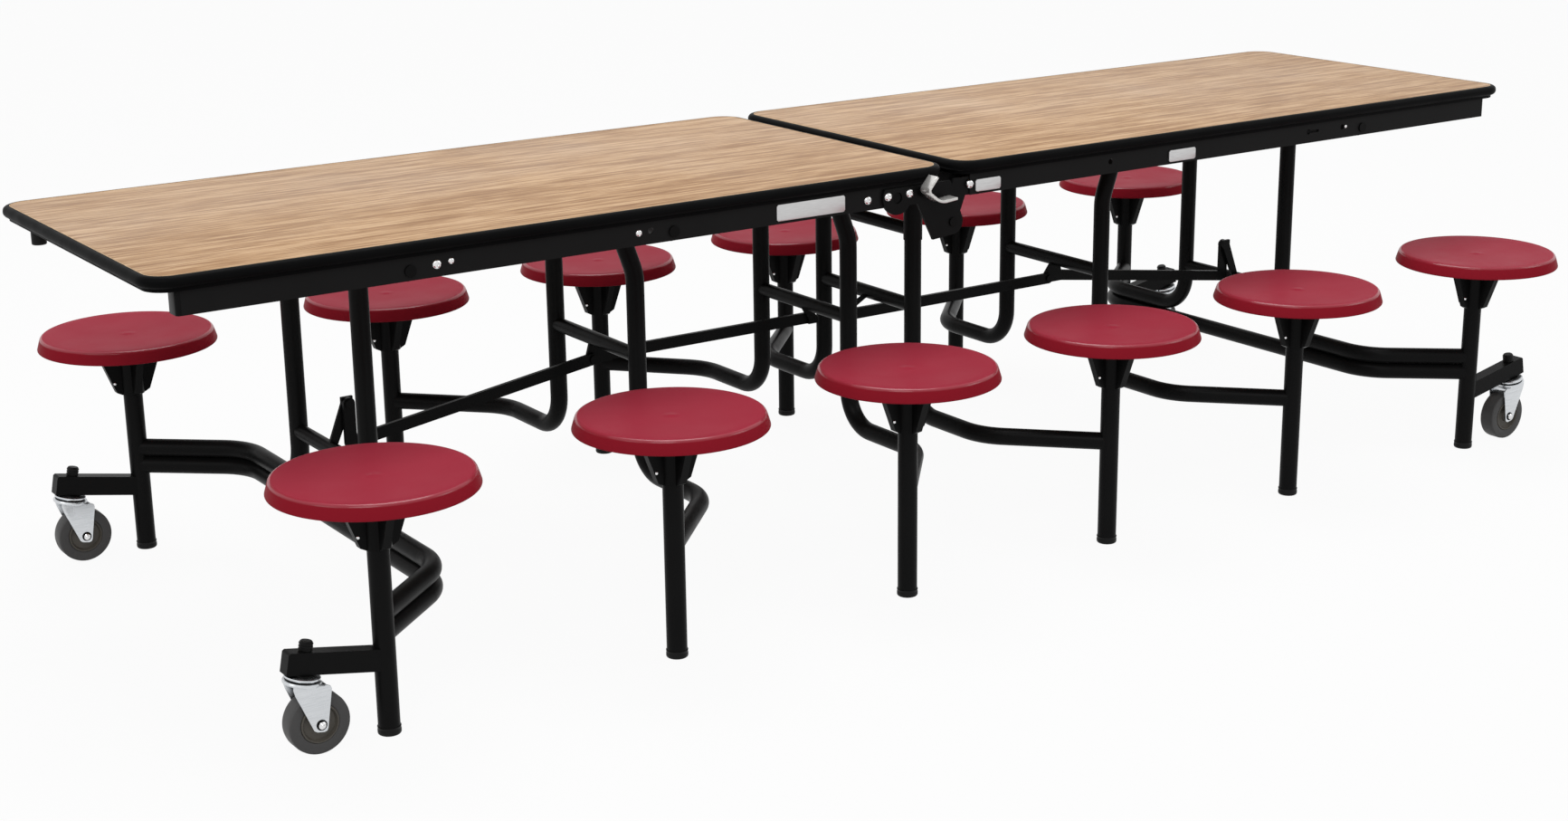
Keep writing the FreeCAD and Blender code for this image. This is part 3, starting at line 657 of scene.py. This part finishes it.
def modifier(piece: Piece, kind: str, **settings: object) -> None:
    """Add a modifier and apply it.

    Args:
        piece: The piece to shape.
        kind: Blender's modifier type.
        settings: The modifier's attributes.
    """
    pick(piece)
    added = piece.modifiers.new(kind.lower(), kind)
    for name, value in settings.items():
        setattr(added, name, value)
    bpy.ops.object.modifier_apply(modifier=added.name)


def joined(name: str, *pieces: Piece) -> Piece:
    """Join several meshes into one object and return it."""
    pick(*pieces)
    bpy.ops.object.join()
    return named(pieces[0], name)


def copy(master: Piece, name: str, place: Matrix) -> Piece:
    """Copy a master piece, with its own mesh, to a place.

    Args:
        master: The piece, modelled about the origin.
        name: The copy's name.
        place: Turn and shift from the master to the copy.

    Returns:
        The copy, at the origin with its place in its mesh.
    """
    piece = master.copy()
    piece.data = master.data.copy()
    piece.data.transform(place)
    bpy.context.scene.collection.objects.link(piece)
    return named(piece, name)


def discard(*masters: Piece) -> None:
    """Remove master pieces once their copies are made."""
    for master in masters:
        bpy.data.objects.remove(master, do_unlink=True)


def fit(piece: Piece, body: str, finish: Finish, *replaced: str) -> None:
    """Finish a piece and let it ride on a body.

    Args:
        piece: The piece, in place.
        body: The body it moves with.
        finish: Its finish.
        replaced: CAD nodes it stands for.
    """
    finish.put_on(piece)
    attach(piece, body)
    if replaced:
        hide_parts(*replaced)
    LOG.info("fitted %s on %s", piece.name, body)


@dataclass
class CadDressing:
    """Finishes of the CAD nodes that stay as they are, by the endings of their names."""

    finishes: tuple[tuple[Finish, tuple[str, ...]], ...] = (
        (RAIL_COAT, ("rails",)),
        (BLACK_BOLT, ("pivot_bolts", "hinge_pin")),
        (BRACKET_BLACK, ("seat_brackets",)),
        (POWDER_COAT, ("hinge_plates", "centre_beam", "frame", "posts", "bar")),
    )

    def dress(self) -> None:
        """Put each node's finish on it."""
        for name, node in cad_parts.items():
            for finish, endings in self.finishes:
                if name.endswith(endings):
                    finish.put_on(node)
                    LOG.info("dressed %s with %s", name, finish.name)


@dataclass
class Stools:
    """Moulded seats, the screws of their brackets and the foot caps.

    The button starts at the middle of the dish, the lip's edge at the rim's foot, the hollow's edge where
    the face ends above the underside, and the groove at the foot cap's side.
    """

    rim: float = 0.165
    top: float = 0.432
    height: float = 0.025
    side_lean: float = 17.0
    dish: float = 0.0047
    dish_steps: int = 8
    button: Section = ((0.0, 0.0005), (0.006, 0.0005), (0.0072, 0.0))
    crest_round: float = 0.0075
    lip_round: float = 0.0022
    lip_edge: Section = ((-0.0055, 0.0), (-0.0065, 0.001))
    hollow_edge: Section = ((-0.002, -0.002), (-0.004, 0.0))
    underside: float = 0.4212
    screw_place: Place = (0.0345, 0.007, 0.335)
    screw_section: Section = ((0.0, 0.0022), (0.0015, 0.002), (0.0028, 0.0013), (0.0035, 0.0003),
                              (0.0036, -0.001), (0.0, -0.001))
    foot_radius: float = 0.019
    foot_bore: float = 0.01785
    foot_height: float = 0.014
    foot_floor: float = 0.004
    sole_round: float = 0.0035
    edge_round: float = 0.0008
    groove: Section = ((0.0, 0.008), (-0.0006, 0.0092), (-0.0006, 0.011), (0.0, 0.0122))

    def seat_profile(self) -> list[Point]:
        """Lay out the seat's half section.

        Returns:
            Its points, from the middle of its dish to the middle of its underside.
        """
        lean = math.radians(self.side_lean)
        base = self.top - self.height
        lip_x, lip_z = self.rim - self.lip_round, base + self.lip_round
        crest_z = self.top - self.crest_round
        inward = self.crest_round - self.lip_round + math.sin(lean) * (crest_z - lip_z)
        face_end = lip_x - inward / math.cos(lean)
        middle = self.top - self.dish
        reaches = [face_end * step / self.dish_steps for step in range(1, self.dish_steps)]
        return [*moved(self.button, 0.0, middle),
                *((reach, middle + self.dish * (reach / face_end) ** 2) for reach in reaches),
                *arc((face_end, crest_z), self.crest_round, 90.0, self.side_lean, steps=8),
                *arc((lip_x, lip_z), self.lip_round, self.side_lean, -90.0, steps=6),
                *moved(self.lip_edge, self.rim, base),
                *moved(self.hollow_edge, face_end, self.underside), (0.0, self.underside)]

    def foot_profile(self) -> list[Point]:
        """Lay out a foot cap's half section.

        Returns:
            Its points: a rounded sole, a groove and a rolled upper edge round the post.
        """
        outer, high, sole, edge = self.foot_radius, self.foot_height, self.sole_round, self.edge_round
        return [(0.0, 0.0), *arc((outer - sole, sole), sole, -90.0, 0.0, steps=5),
                *moved(self.groove, outer, 0.0),
                *arc((outer - edge, high - edge), edge, 0.0, 90.0, steps=3),
                (self.foot_bore, high), (self.foot_bore, self.foot_floor), (0.0, self.foot_floor)]

    def build(self) -> None:
        """Model one seat, one bracket screw and one foot cap, and fit copies on every stool."""
        seat = lathe("seat_master", self.seat_profile(), steps=96)
        foot = lathe("foot_master", self.foot_profile(), steps=40)
        screw = lathe("screw_master", self.screw_section, steps=20)
        wing = Matrix.Translation(self.screw_place) @ Z_TO_FRONT.inverted()
        for side, row, station in product(Side, Row, Station):
            body = f"{side.word}_{station.word}"
            stem = f"{body}_{row.word}"
            centre = Matrix.Translation((side.value * station.value, row.value, 0))
            places = (centre @ wing, centre @ HALF_TURN @ wing)
            screws = [copy(screw, f"{stem}_screw", place) for place in places]
            fit(copy(seat, f"{stem}_seat", centre), body, SEAT_RED, f"{body}_seats")
            fit(joined(f"{stem}_bracket_screws", *screws), body, CHROME)
            fit(copy(foot, f"{stem}_foot", centre), body, FOOT_BLACK, f"{body}_feet")
        discard(seat, screw, foot)


@dataclass
class Casters:
    """Swivel forks, wheels and the ribbed caps over their stems.

    A caster is modelled about its swivel axis from the middle of its arm, with its trail towards +X. Heights
    of tyre and hub start at the wheel's side, of nut and washer at a leg's outer face, and of raceway, seal,
    the black ring in the gap under the arm and cap at their own low or high. A leg's front and back start at
    its upper edge and its foot starts at the axle.
    """

    stem_x: float = -1.402
    stem_z: float = 0.153047
    lean: float = 11.0
    trail: float = 0.032
    drop: float = 0.096412
    wheel_radius: float = 0.0508
    wheel_half: float = 0.016
    tyre_bead: Section = ((0.0318, -0.0016), (0.033, -0.0004), (0.0342, 0.0))
    tyre_round: float = 0.0026
    tyre_crown: float = 0.0032
    tread_edge: float = 0.006
    hub_section: Section = (
        (0.00505, 0.0), (0.0115, 0.0), (0.0125, -0.0008), (0.0135, -0.0042), (0.016, -0.0055),
        (0.0262, -0.0052), (0.0278, -0.003), (0.029, 0.0004), (0.0304, 0.0006), (0.0312, 0.0),
        (0.0317, -0.0014))
    raceway_low: float = -0.0352
    raceway_section: Section = (
        (0.0, 0.0), (0.0268, 0.0), (0.0298, 0.0014), (0.0306, 0.004), (0.0298, 0.0066), (0.0276, 0.0074),
        (0.0256, 0.0078), (0.0256, 0.0094), (0.0276, 0.0098), (0.0286, 0.0112), (0.0284, 0.0136),
        (0.0262, 0.015), (0.02, 0.0154), (0.0, 0.0154))
    seal_low: float = -0.0277
    seal_section: Section = ((0.0256, 0.0), (0.0272, 0.0002), (0.0276, 0.0011), (0.0272, 0.002),
                             (0.0256, 0.0022), (0.0256, 0.0))
    # A black ring fills the gap between the raceway and the arm: painted shade for that dark gap.
    collar_high: float = -0.0183
    collar_section: Section = ((0.0062, -0.0022), (0.0185, -0.0022), (0.0192, -0.0012), (0.0185, 0.0),
                               (0.0062, 0.0), (0.0062, -0.0022))
    fork_wall: float = 0.0025
    leg_middle: float = 0.02025
    leg_out: float = 0.0215
    leg_high: float = -0.0315
    leg_front: Section = ((-0.0215, 0.0), (-0.0215, -0.007), (-0.0165, -0.0175), (-0.0065, -0.033))
    leg_foot: Section = ((-0.0145, -0.0045), (-0.0112, -0.0095), (-0.006, -0.0118), (0.0062, -0.0118),
                         (0.0105, -0.0095), (0.0118, -0.0048))
    leg_back: Section = ((0.0098, -0.006), (0.0073, -0.0018), (0.0018, 0.0))
    leg_bevel: float = 0.0007
    crown_level: float = -0.0327
    crown_half: Section = ((-0.0255, 0.011), (-0.0215, 0.0215), (0.0305, 0.0215), (0.0335, 0.017))
    crown_bevel: float = 0.0008
    nut_section: Section = ((0.0, 0.0056), (0.0022, 0.0054), (0.003, 0.0046), (0.0048, 0.0046),
                            (0.0062, 0.0034), (0.0064, 0.0012), (0.005, 0.0012), (0.005, 0.0))
    washer_section: Section = ((0.0052, 0.0), (0.0088, 0.0), (0.0088, 0.0008), (0.0084, 0.0012),
                               (0.0052, 0.0012), (0.0052, 0.0))
    stem_section: Section = ((0.0, -0.03), (0.006, -0.03), (0.006, 0.0164), (0.005, 0.0174), (0.0, 0.0174))
    cap_low: float = 0.0186
    cap_shell: Section = ((0.0101, 0.0142), (0.0088, 0.0158), (0.0, 0.0166), (0.0, 0.0), (0.0101, 0.0))
    rib_section: Section = ((0.0101, 0.0), (0.0112, 0.0008), (0.0112, 0.0026), (0.0101, 0.0034))
    rib_starts: tuple[float, ...] = (0.0006, 0.0052, 0.0098)

    def tyre_profile(self) -> list[Point]:
        """Lay out the tyre's half section about its axle.

        Returns:
            Its points, from the bead on one side round the tread and back.
        """
        outer, half = self.wheel_radius, self.wheel_half
        edge_centre = (outer - self.tyre_crown, half - self.tyre_round)
        edge = arc(edge_centre, self.tyre_round, 90.0, 20.0, steps=4)
        return closed([*moved(self.tyre_bead, 0.0, half), *edge, (outer, half - self.tread_edge)])

    def fork_leg(self, sign: int) -> Piece:
        """Cut one pressed fork leg.

        Args:
            sign: Which side of the wheel, as the sign of Y.

        Returns:
            The leg about the swivel axis.
        """
        corners = [*moved(self.leg_front, 0.0, self.leg_high),
                   *moved(self.leg_foot, self.trail, -self.drop),
                   *moved(self.leg_back, self.trail, self.leg_high)]
        outline = [Vector((x, sign * self.leg_middle, z)) for x, z in corners]
        return sheet(f"leg_{sign}", outline, self.fork_wall, self.leg_bevel)

    def fork(self) -> Piece:
        """Press the legs and the crown that joins them, and turn the swivel rings and the stem.

        Returns:
            The fork about the swivel axis.
        """
        legs = [self.fork_leg(sign) for sign in (-1, 1)]
        rings = lathe("rings", self.raceway_section, steps=48, level=self.raceway_low)
        outline = [Vector((x, y, self.crown_level)) for x, y in mirrored(self.crown_half)]
        crown = sheet("crown", outline, self.fork_wall, self.crown_bevel)
        stem = lathe("stem", self.stem_section, steps=24)
        return joined("fork_master", *legs, crown, rings, stem)

    def dark_rings(self, about_axle: Matrix) -> Piece:
        """Turn the washers under the axle's nuts, the seal of the swivel rings and the black ring of painted
        shade in the gap under the arm.

        Args:
            about_axle: Turn and shift from the Z axis to the axle.

        Returns:
            The rings as one piece about the swivel axis.
        """
        near = lathe("near_washer", self.washer_section, steps=28, level=self.leg_out)
        far = copy(near, "far_washer", about_axle @ Matrix.Rotation(math.pi, 4, "X"))
        near.data.transform(about_axle)
        seal = lathe("seal", self.seal_section, steps=48, level=self.seal_low)
        collar = lathe("collar", self.collar_section, steps=36, level=self.collar_high)
        return joined("washer_master", near, far, seal, collar)

    def stem_cap(self) -> Piece:
        """Turn the ribbed cap over the stem."""
        ribs = [point for start in self.rib_starts for point in moved(self.rib_section, 0.0, start)]
        profile = [self.cap_shell[-1], *ribs, *self.cap_shell]
        return lathe("cap_rings", profile, steps=28, level=self.cap_low)

    def place(self, side: Side, row: Row) -> Matrix:
        """Return the turn and shift from the master caster to a corner of the table."""
        stem = (self.stem_x, -side.value * row.value, self.stem_z)
        return side.turn @ Matrix.Translation(stem) @ Matrix.Rotation(math.radians(self.lean), 4, "Y")

    def build(self) -> None:
        """Model one caster and fit a copy at each corner."""
        about_axle = Matrix.Translation((self.trail, 0, -self.drop)) @ Z_TO_FRONT
        fork, washer, cap = self.fork(), self.dark_rings(about_axle), self.stem_cap()
        nut = moved(self.nut_section, 0.0, self.leg_out)
        hub_side = moved(self.hub_section, 0.0, self.wheel_half)
        bolt = lathe("axle_bolt", mirrored(nut), steps=28)
        tyre = lathe("tyre_master", self.tyre_profile(), steps=72)
        hub = lathe("hub_master", closed(hub_side), steps=56)
        for part in (bolt, tyre, hub):
            part.data.transform(about_axle)
        for side, row in product(Side, Row):
            stem = f"{side.word}_{row.word}"
            caster, roller, place = f"{stem}_caster", f"{stem}_roller", self.place(side, row)
            fit(copy(fork, f"{stem}_fork", place), caster, ZINC, f"{stem}_caster_fork")
            fit(copy(bolt, f"{stem}_axle_bolt", place), caster, CHROME, f"{stem}_caster_fork")
            fit(copy(washer, f"{stem}_washer", place), caster, BLACK_BOLT)
            fit(copy(tyre, f"{stem}_tyre", place), roller, TYRE_GREY, f"{stem}_wheel")
            fit(copy(hub, f"{stem}_hub", place), roller, HUB_GREY, f"{stem}_wheel")
            fit(copy(cap, f"{stem}_stem_cap", place), f"{side.word}_outer", FOOT_BLACK)
        discard(fork, bolt, cap, washer, tyre, hub)


@dataclass
class TableEdge:
    """The two boards with slim bands, the fine line of the laminate's edge, the rails' ends and a bumper."""

    corner: float = 0.05
    corner_steps: int = 8
    joint_inset: float = 0.0085
    board_thickness: float = 0.025
    board_bevel: float = 0.0002
    band_width: float = 0.012
    band_height: float = 0.0195
    band_round: float = 0.009
    skirt_width: float = 0.002
    skirt_low: float = 0.7115
    skirt_bevel: float = 0.0003
    line_width: float = 0.0012
    line_height: float = 0.0004
    line_bevel: float = 0.0001
    rail_edges: Span = (0.672, 0.712)
    rail_ends: Span = (1.4885, 1.48)
    return_width: float = 0.03
    return_round: float = 0.006
    return_bevel: float = 0.0004
    bumper_place: Point = (-1.478, 0.331)
    bumper_radius: float = 0.013
    bumper_ends: Span = (0.6635, 0.7118)
    bumper_round: float = 0.002

    def high(self, side: Side) -> float:
        """Return the height of a half's top face."""
        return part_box(f"{side.word}_edge_band")[1][2]

    def outline(self, side: Side, inset: float, height: float) -> list[Vector]:
        """Lay out the rounded outline of a half's top.

        Args:
            side: Half of the table.
            inset: How far the outline is moved inwards.
            height: Its Z.

        Returns:
            Its points in order.
        """
        low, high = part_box(f"{side.word}_edge_band")
        left, right = low[0] + self.corner, high[0] - self.corner
        front, back = low[1] + self.corner, high[1] - self.corner
        if side is Side.LEFT:
            right -= self.joint_inset
        else:
            left += self.joint_inset
        points: list[Point] = []
        centres = ((right, front), (right, back), (left, back), (left, front))
        for centre, start in zip(centres, (-90.0, 0.0, 90.0, 180.0)):
            points += arc(centre, self.corner - inset, start, start + 90.0, self.corner_steps)
        return [Vector((x, y, height)) for x, y in points]

    def band(self, side: Side) -> Piece:
        """Mould a half's rounded band with the thin skirt that hides the board's core.

        Args:
            side: Half of the table.

        Returns:
            The band, in place.
        """
        middle = self.high(side) - self.band_height / 2
        outer = self.outline(side, 0.0, middle)
        bullnose = ring("bullnose", outer, self.band_width, self.band_height, self.band_round)
        fall = middle - self.skirt_low
        inner = self.outline(side, self.band_width - self.skirt_width, self.skirt_low + fall / 2)
        skirt = ring("skirt", inner, self.skirt_width, fall, self.skirt_bevel)
        return joined(f"{side.word}_band", bullnose, skirt)

    def board(self, side: Side) -> Piece:
        """Cut a half's board, set back a little from the other half."""
        outline = self.outline(side, self.band_width, self.high(side) - self.board_thickness / 2)
        return sheet(f"{side.word}_laminate_top", outline, self.board_thickness, self.board_bevel)

    def laminate_line(self, side: Side) -> Piece:
        """Lay the fine pale line, a quarter sunk, where the laminate meets the band."""
        name, high = f"{side.word}_laminate_line", self.line_height
        outline = self.outline(side, self.band_width, self.high(side) + high / 4)
        return ring(name, outline, self.line_width, high, self.line_bevel)

    def rail_end(self) -> Piece:
        """Bend the end of the left front rail round into its return flange.

        Returns:
            The bent end, in place.
        """
        (end, start), face, wall = self.rail_ends, RAIL_FACE, RAIL_WALL
        deep = face - self.return_width
        outer = rounded([(-start, -face), (-end, -face), (-end, -deep)], [self.return_round])
        inner = rounded([(-start, wall - face), (wall - end, wall - face), (wall - end, -deep)],
                        [self.return_round - wall])
        low, high = self.rail_edges
        outline = [Vector((x, y, (low + high) / 2)) for x, y in [*outer, *reversed(inner)]]
        return sheet("rail_end_master", outline, high - low, self.return_bevel)

    def bumper(self) -> Piece:
        """Turn the round bumper that hangs at the end of the left back rail.

        Returns:
            The bumper, in place.
        """
        radius, edge, (low, high) = self.bumper_radius, self.bumper_round, self.bumper_ends
        sole = arc((radius - edge, low + edge), edge, -90.0, 0.0, steps=5)
        piece = lathe("left_back_bumper", [(0.0, low), *sole, (radius, high), (0.0, high)], steps=36)
        piece.data.transform(Matrix.Translation((*self.bumper_place, 0.0)))
        return piece

    def build(self) -> None:
        """Fit boards, bands, lines and rail ends on both halves, and the bumper."""
        for side in Side:
            fit(self.board(side), side.top, LAMINATE, f"{side.word}_board")
            fit(self.band(side), side.top, EDGE_BAND, f"{side.word}_edge_band")
            fit(self.laminate_line(side), side.top, LAMINATE_LINE)
        end = self.rail_end()
        for side in Side:
            fit(copy(end, f"{side.word}_rail_end", side.turn), side.top, POWDER_COAT)
        discard(end)
        fit(self.bumper(), Side.LEFT.top, FOOT_BLACK)


@dataclass
class LatchLever:
    """Plated strap lever on the front hinge plate."""

    body: str = "latch"
    node: str = "latch_lever"
    pivot: Place = (-0.074, -0.3618, 0.694)
    corners: Section = ((-0.064, 0.7245), (-0.0855, 0.6995), (-0.056, 0.676), (-0.018, 0.6798))
    bends: Span = (0.008, 0.035)
    strap: float = 0.005
    strap_bevel: float = 0.0006
    near: float = -0.399
    far: float = -0.3725
    stud_section: Section = ((0.0, 0.0), (0.0075, 0.0), (0.0085, 0.001), (0.0085, 0.0127),
                             (0.0075, 0.0137), (0.0, 0.0137))

    def strap_outline(self) -> list[Point]:
        """Lay out the edge of the strap seen from the front.

        Returns:
            Its path with half its thickness on each side.
        """
        path = [Vector(point) for point in rounded(self.corners, self.bends)]
        over: list[Point] = []
        under: list[Point] = []
        for number, point in enumerate(path):
            along = path[min(number + 1, len(path) - 1)] - path[max(number - 1, 0)]
            across = Vector((-along.y, along.x)).normalized() * self.strap / 2
            over.append(tuple(point + across))
            under.append(tuple(point - across))
        return [*over, *reversed(under)]

    def build(self) -> None:
        """Bend the strap, turn its stud and fit both on the lever's body."""
        middle = (self.near + self.far) / 2
        outline = [Vector((x, middle, z)) for x, z in self.strap_outline()]
        strap = sheet("latch_strap", outline, self.far - self.near, self.strap_bevel)
        fit(strap, self.body, PLATED_LEVER, self.node)
        stud = lathe("latch_stud", self.stud_section, steps=32)
        stud.data.transform(Matrix.Translation(self.pivot) @ Z_TO_FRONT)
        fit(stud, self.body, BLACK_BOLT, self.node)


@dataclass
class RailFittings:
    """Screws, bare plates and dark plates of painted shade behind the keyholes on the side rails and the
    hinge plates.

    A screw has its half, its X, its Z and its radius. A plate has its half, its ends in X, its edges in Z
    and its thickness, which is enough to cover a pivot bolt's head behind it.
    """

    gusset_face: float = 0.3615
    layer_gap: float = 0.0001
    screw_section: Section = ((0.0, 0.22), (0.3, 0.22), (0.34, 0.26), (0.36, 0.56), (0.5, 0.55),
                              (0.74, 0.44), (0.92, 0.24), (1.0, 0.02), (1.0, -0.02), (0.0, -0.02))
    rail_screws: tuple[tuple[Side, float, float, float], ...] = (
        (Side.LEFT, -1.053, 0.693, 0.0085), (Side.LEFT, -1.027, 0.695, 0.0058),
        (Side.LEFT, -0.674, 0.694, 0.0065), (Side.LEFT, -0.192, 0.691, 0.0085),
        (Side.RIGHT, 0.044, 0.693, 0.0085), (Side.RIGHT, 1.05, 0.695, 0.0036))
    hinge_screws: tuple[tuple[Side, float, float, float], ...] = (
        (Side.LEFT, -0.150, 0.693, 0.0085), (Side.LEFT, -0.101, 0.694, 0.0085))
    plates: tuple[tuple[Side, Span, Span, float], ...] = (
        (Side.LEFT, (-0.391, -0.243), (0.677, 0.7068), 0.0012),
        (Side.RIGHT, (0.056, 0.116), (0.677, 0.7), 0.0034),
        (Side.RIGHT, (0.546, 0.617), (0.677, 0.7), 0.0034))
    plate_clip: float = 0.003
    plate_bevel: float = 0.0004
    # A dark plate behind each keyhole paints the shade seen through it.
    painted_shade_ends: Span = (0.912, 1.05)
    painted_shade_edges: Span = (0.682, 0.708)
    painted_shade_wall: float = 0.0015

    def plate(self, name: str, ends: Span, edges: Span, thickness: float) -> Piece:
        """Cut a plate with clipped corners and lay it on the front rail.

        Args:
            name: The plate's name.
            ends: Its left and right ends in X.
            edges: Its lower and upper edges in Z.
            thickness: How far it stands off the rail.

        Returns:
            The plate, in place.
        """
        (left, right), (low, high), clip = ends, edges, self.plate_clip
        corners = [(left + clip, low), (right - clip, low), (right, low + clip), (right, high - clip),
                   (right - clip, high), (left + clip, high), (left, high - clip), (left, low + clip)]
        y = -RAIL_FACE - thickness / 2 - self.layer_gap
        return sheet(name, [Vector((x, y, z)) for x, z in corners], thickness, self.plate_bevel)

    def fit_screws(self) -> None:
        """Turn one button-head screw of unit radius and fit copies at the front and, turned, at the back."""
        master = lathe("screw_master", self.screw_section, steps=28)
        places = [(RAIL_FACE, *screw) for screw in self.rail_screws]
        places += [(self.gusset_face, *screw) for screw in self.hinge_screws]
        for number, (face, side, x, z, radius) in enumerate(places):
            facing = Matrix.Translation((x, -face - self.layer_gap, z)) @ Z_TO_FRONT
            front = facing @ Matrix.Diagonal((radius, radius, radius, 1.0))
            fit(copy(master, f"front_screw_{number}", front), side.top, CHROME)
            fit(copy(master, f"back_screw_{number}", HALF_TURN @ front), side.other.top, CHROME)
        discard(master)

    def fit_painted_shade_plates(self) -> None:
        """Fit a dark plate of painted shade behind the right front keyhole and, turned, behind the left back
        one.
        """
        master = self.plate("painted_shade_master", self.painted_shade_ends, self.painted_shade_edges, self.painted_shade_wall)
        behind = Matrix.Translation((0, RAIL_WALL + self.painted_shade_wall + 2 * self.layer_gap, 0))
        for side in (Side.RIGHT, Side.LEFT):
            painted_shade_plate = copy(master, f"{side.word}_keyhole_backing", side.other.turn @ behind)
            fit(painted_shade_plate, side.top, BLACK_BOLT)
        discard(master)

    def build(self) -> None:
        """Fit the screws, the bare plates and the dark plates of painted shade behind the keyholes."""
        self.fit_screws()
        for number, (side, ends, edges, thickness) in enumerate(self.plates):
            fit(self.plate(f"bare_plate_{number}", ends, edges, thickness), side.top, BARE_PLATE)
        self.fit_painted_shade_plates()


@dataclass
class Studio:
    """Pale floor, white surround, soft lamps and the camera.

    A lamp has its name, its place, the length of its side and its power in watts.
    """

    camera_place: Place = (-2.6861, -3.7252, 1.5292)
    azimuth: float = -34.386
    elevation: float = 16.379
    roll: float = -0.709
    lens: float = 54.15
    sensor: float = 36.0
    floor_size: float = 180.0
    floor_level: float = -0.0005
    floor_tone: float = 0.6
    floor_roughness: float = 0.9
    shadow_share: float = 0.055
    world_level: float = 0.5
    lamp_aim: Place = (0.0, 0.0, 0.4)
    lamps: tuple[tuple[str, Place, float, float], ...] = (
        ("key_softbox", (-3.8, -3.8, 5.2), 2.6, 84.0),
        ("fill_softbox", (4.8, -3.4, 3.8), 2.6, 48.0),
        ("top_softbox", (0.0, 0.6, 5.4), 3.2, 160.0),
        ("left_softbox", (-5.4, -1.2, 3.0), 2.2, 22.0),
    )

    def build(self) -> None:
        """Set up everything round the table."""
        bpy.context.scene.view_settings.view_transform = "Standard"
        self.floor()
        self.world()
        for name, place, size, power in self.lamps:
            self.lamp(name, place, size, power)
        self.camera()

    def seen(self, graph: Graph) -> Socket:
        """Mask the rays that show the surround.

        Args:
            graph: The tree to wire.

        Returns:
            One for camera, glossy and transmission rays and zero for others.
        """
        path = graph.add("ShaderNodeLightPath").outputs
        shown = graph.math("MAXIMUM", path["Is Camera Ray"], path["Is Glossy Ray"])
        return graph.math("MAXIMUM", shown, path["Is Transmission Ray"])

    def floor(self) -> None:
        """Lay a pale floor that keeps a faint shadow."""
        clear()
        bpy.ops.mesh.primitive_plane_add(size=self.floor_size, location=(0, 0, self.floor_level))
        floor = bpy.context.object
        floor.name = "studio_floor"
        material = bpy.data.materials.new("pale_floor")
        material.use_nodes = True
        graph = Graph(material.node_tree)
        shader = material.node_tree.nodes["Principled BSDF"]
        shader.inputs["Base Color"].default_value = (self.floor_tone, self.floor_tone, self.floor_tone, 1.0)
        shader.inputs["Roughness"].default_value = self.floor_roughness
        glow = graph.add("ShaderNodeEmission", {"Color": WHITE, "Strength": 1.0})
        share = graph.math("MULTIPLY", self.seen(graph), 1.0 - self.shadow_share)
        mixed = graph.add("ShaderNodeMixShader", {0: share, 1: shader.outputs[0], 2: glow.outputs[0]})
        graph.feed(material.node_tree.nodes["Material Output"].inputs["Surface"], mixed.outputs[0])
        floor.data.materials.append(material)

    def world(self) -> None:
        """Make the surround white where it is seen and softer where it lights."""
        world = bpy.data.worlds.new("white_surround")
        world.use_nodes = True
        world.node_tree.nodes.clear()
        graph = Graph(world.node_tree)
        seen = graph.add("ShaderNodeBackground", {"Color": WHITE, "Strength": 1.0})
        light = graph.add("ShaderNodeBackground", {"Color": WHITE, "Strength": self.world_level})
        shaders = {1: light.outputs[0], 2: seen.outputs[0]}
        mixed = graph.add("ShaderNodeMixShader", {0: self.seen(graph), **shaders})
        graph.add("ShaderNodeOutputWorld", {"Surface": mixed.outputs[0]})
        bpy.context.scene.world = world

    def lamp(self, name: str, place: Place, size: float, power: float) -> None:
        """Hang a square softbox that faces the table.

        Args:
            name: The lamp's name.
            place: Its position.
            size: Length of its side.
            power: Its power in watts.
        """
        clear()
        bpy.ops.object.light_add(type="AREA", location=place)
        lamp = bpy.context.object
        lamp.name = name
        lamp.data.size = size
        lamp.data.energy = power
        lamp.rotation_euler = (Vector(self.lamp_aim) - Vector(place)).to_track_quat("-Z", "Y").to_euler()

    def camera(self) -> None:
        """Stand the camera at the photograph's viewing angle."""
        clear()
        bpy.ops.object.camera_add(location=self.camera_place)
        camera = bpy.context.object
        camera.name = "main_camera"
        camera.data.sensor_width = self.sensor
        camera.data.sensor_fit = "HORIZONTAL"
        camera.data.lens = self.lens
        turn = Matrix.Rotation(math.radians(self.azimuth), 4, "Z")
        tilt = Matrix.Rotation(math.radians(90 - self.elevation), 4, "X")
        roll = Matrix.Rotation(math.radians(self.roll), 4, "Z")
        camera.rotation_euler = (turn @ tilt @ roll).to_euler()
        bpy.context.scene.camera = camera


def main() -> None:
    """Build and dress every sub-assembly in order."""
    logging.basicConfig(level=logging.INFO)
    CadDressing().dress()
    Stools().build()
    Casters().build()
    TableEdge().build()
    LatchLever().build()
    RailFittings().build()
    Studio().build()


if __name__ == "__main__":
    main()
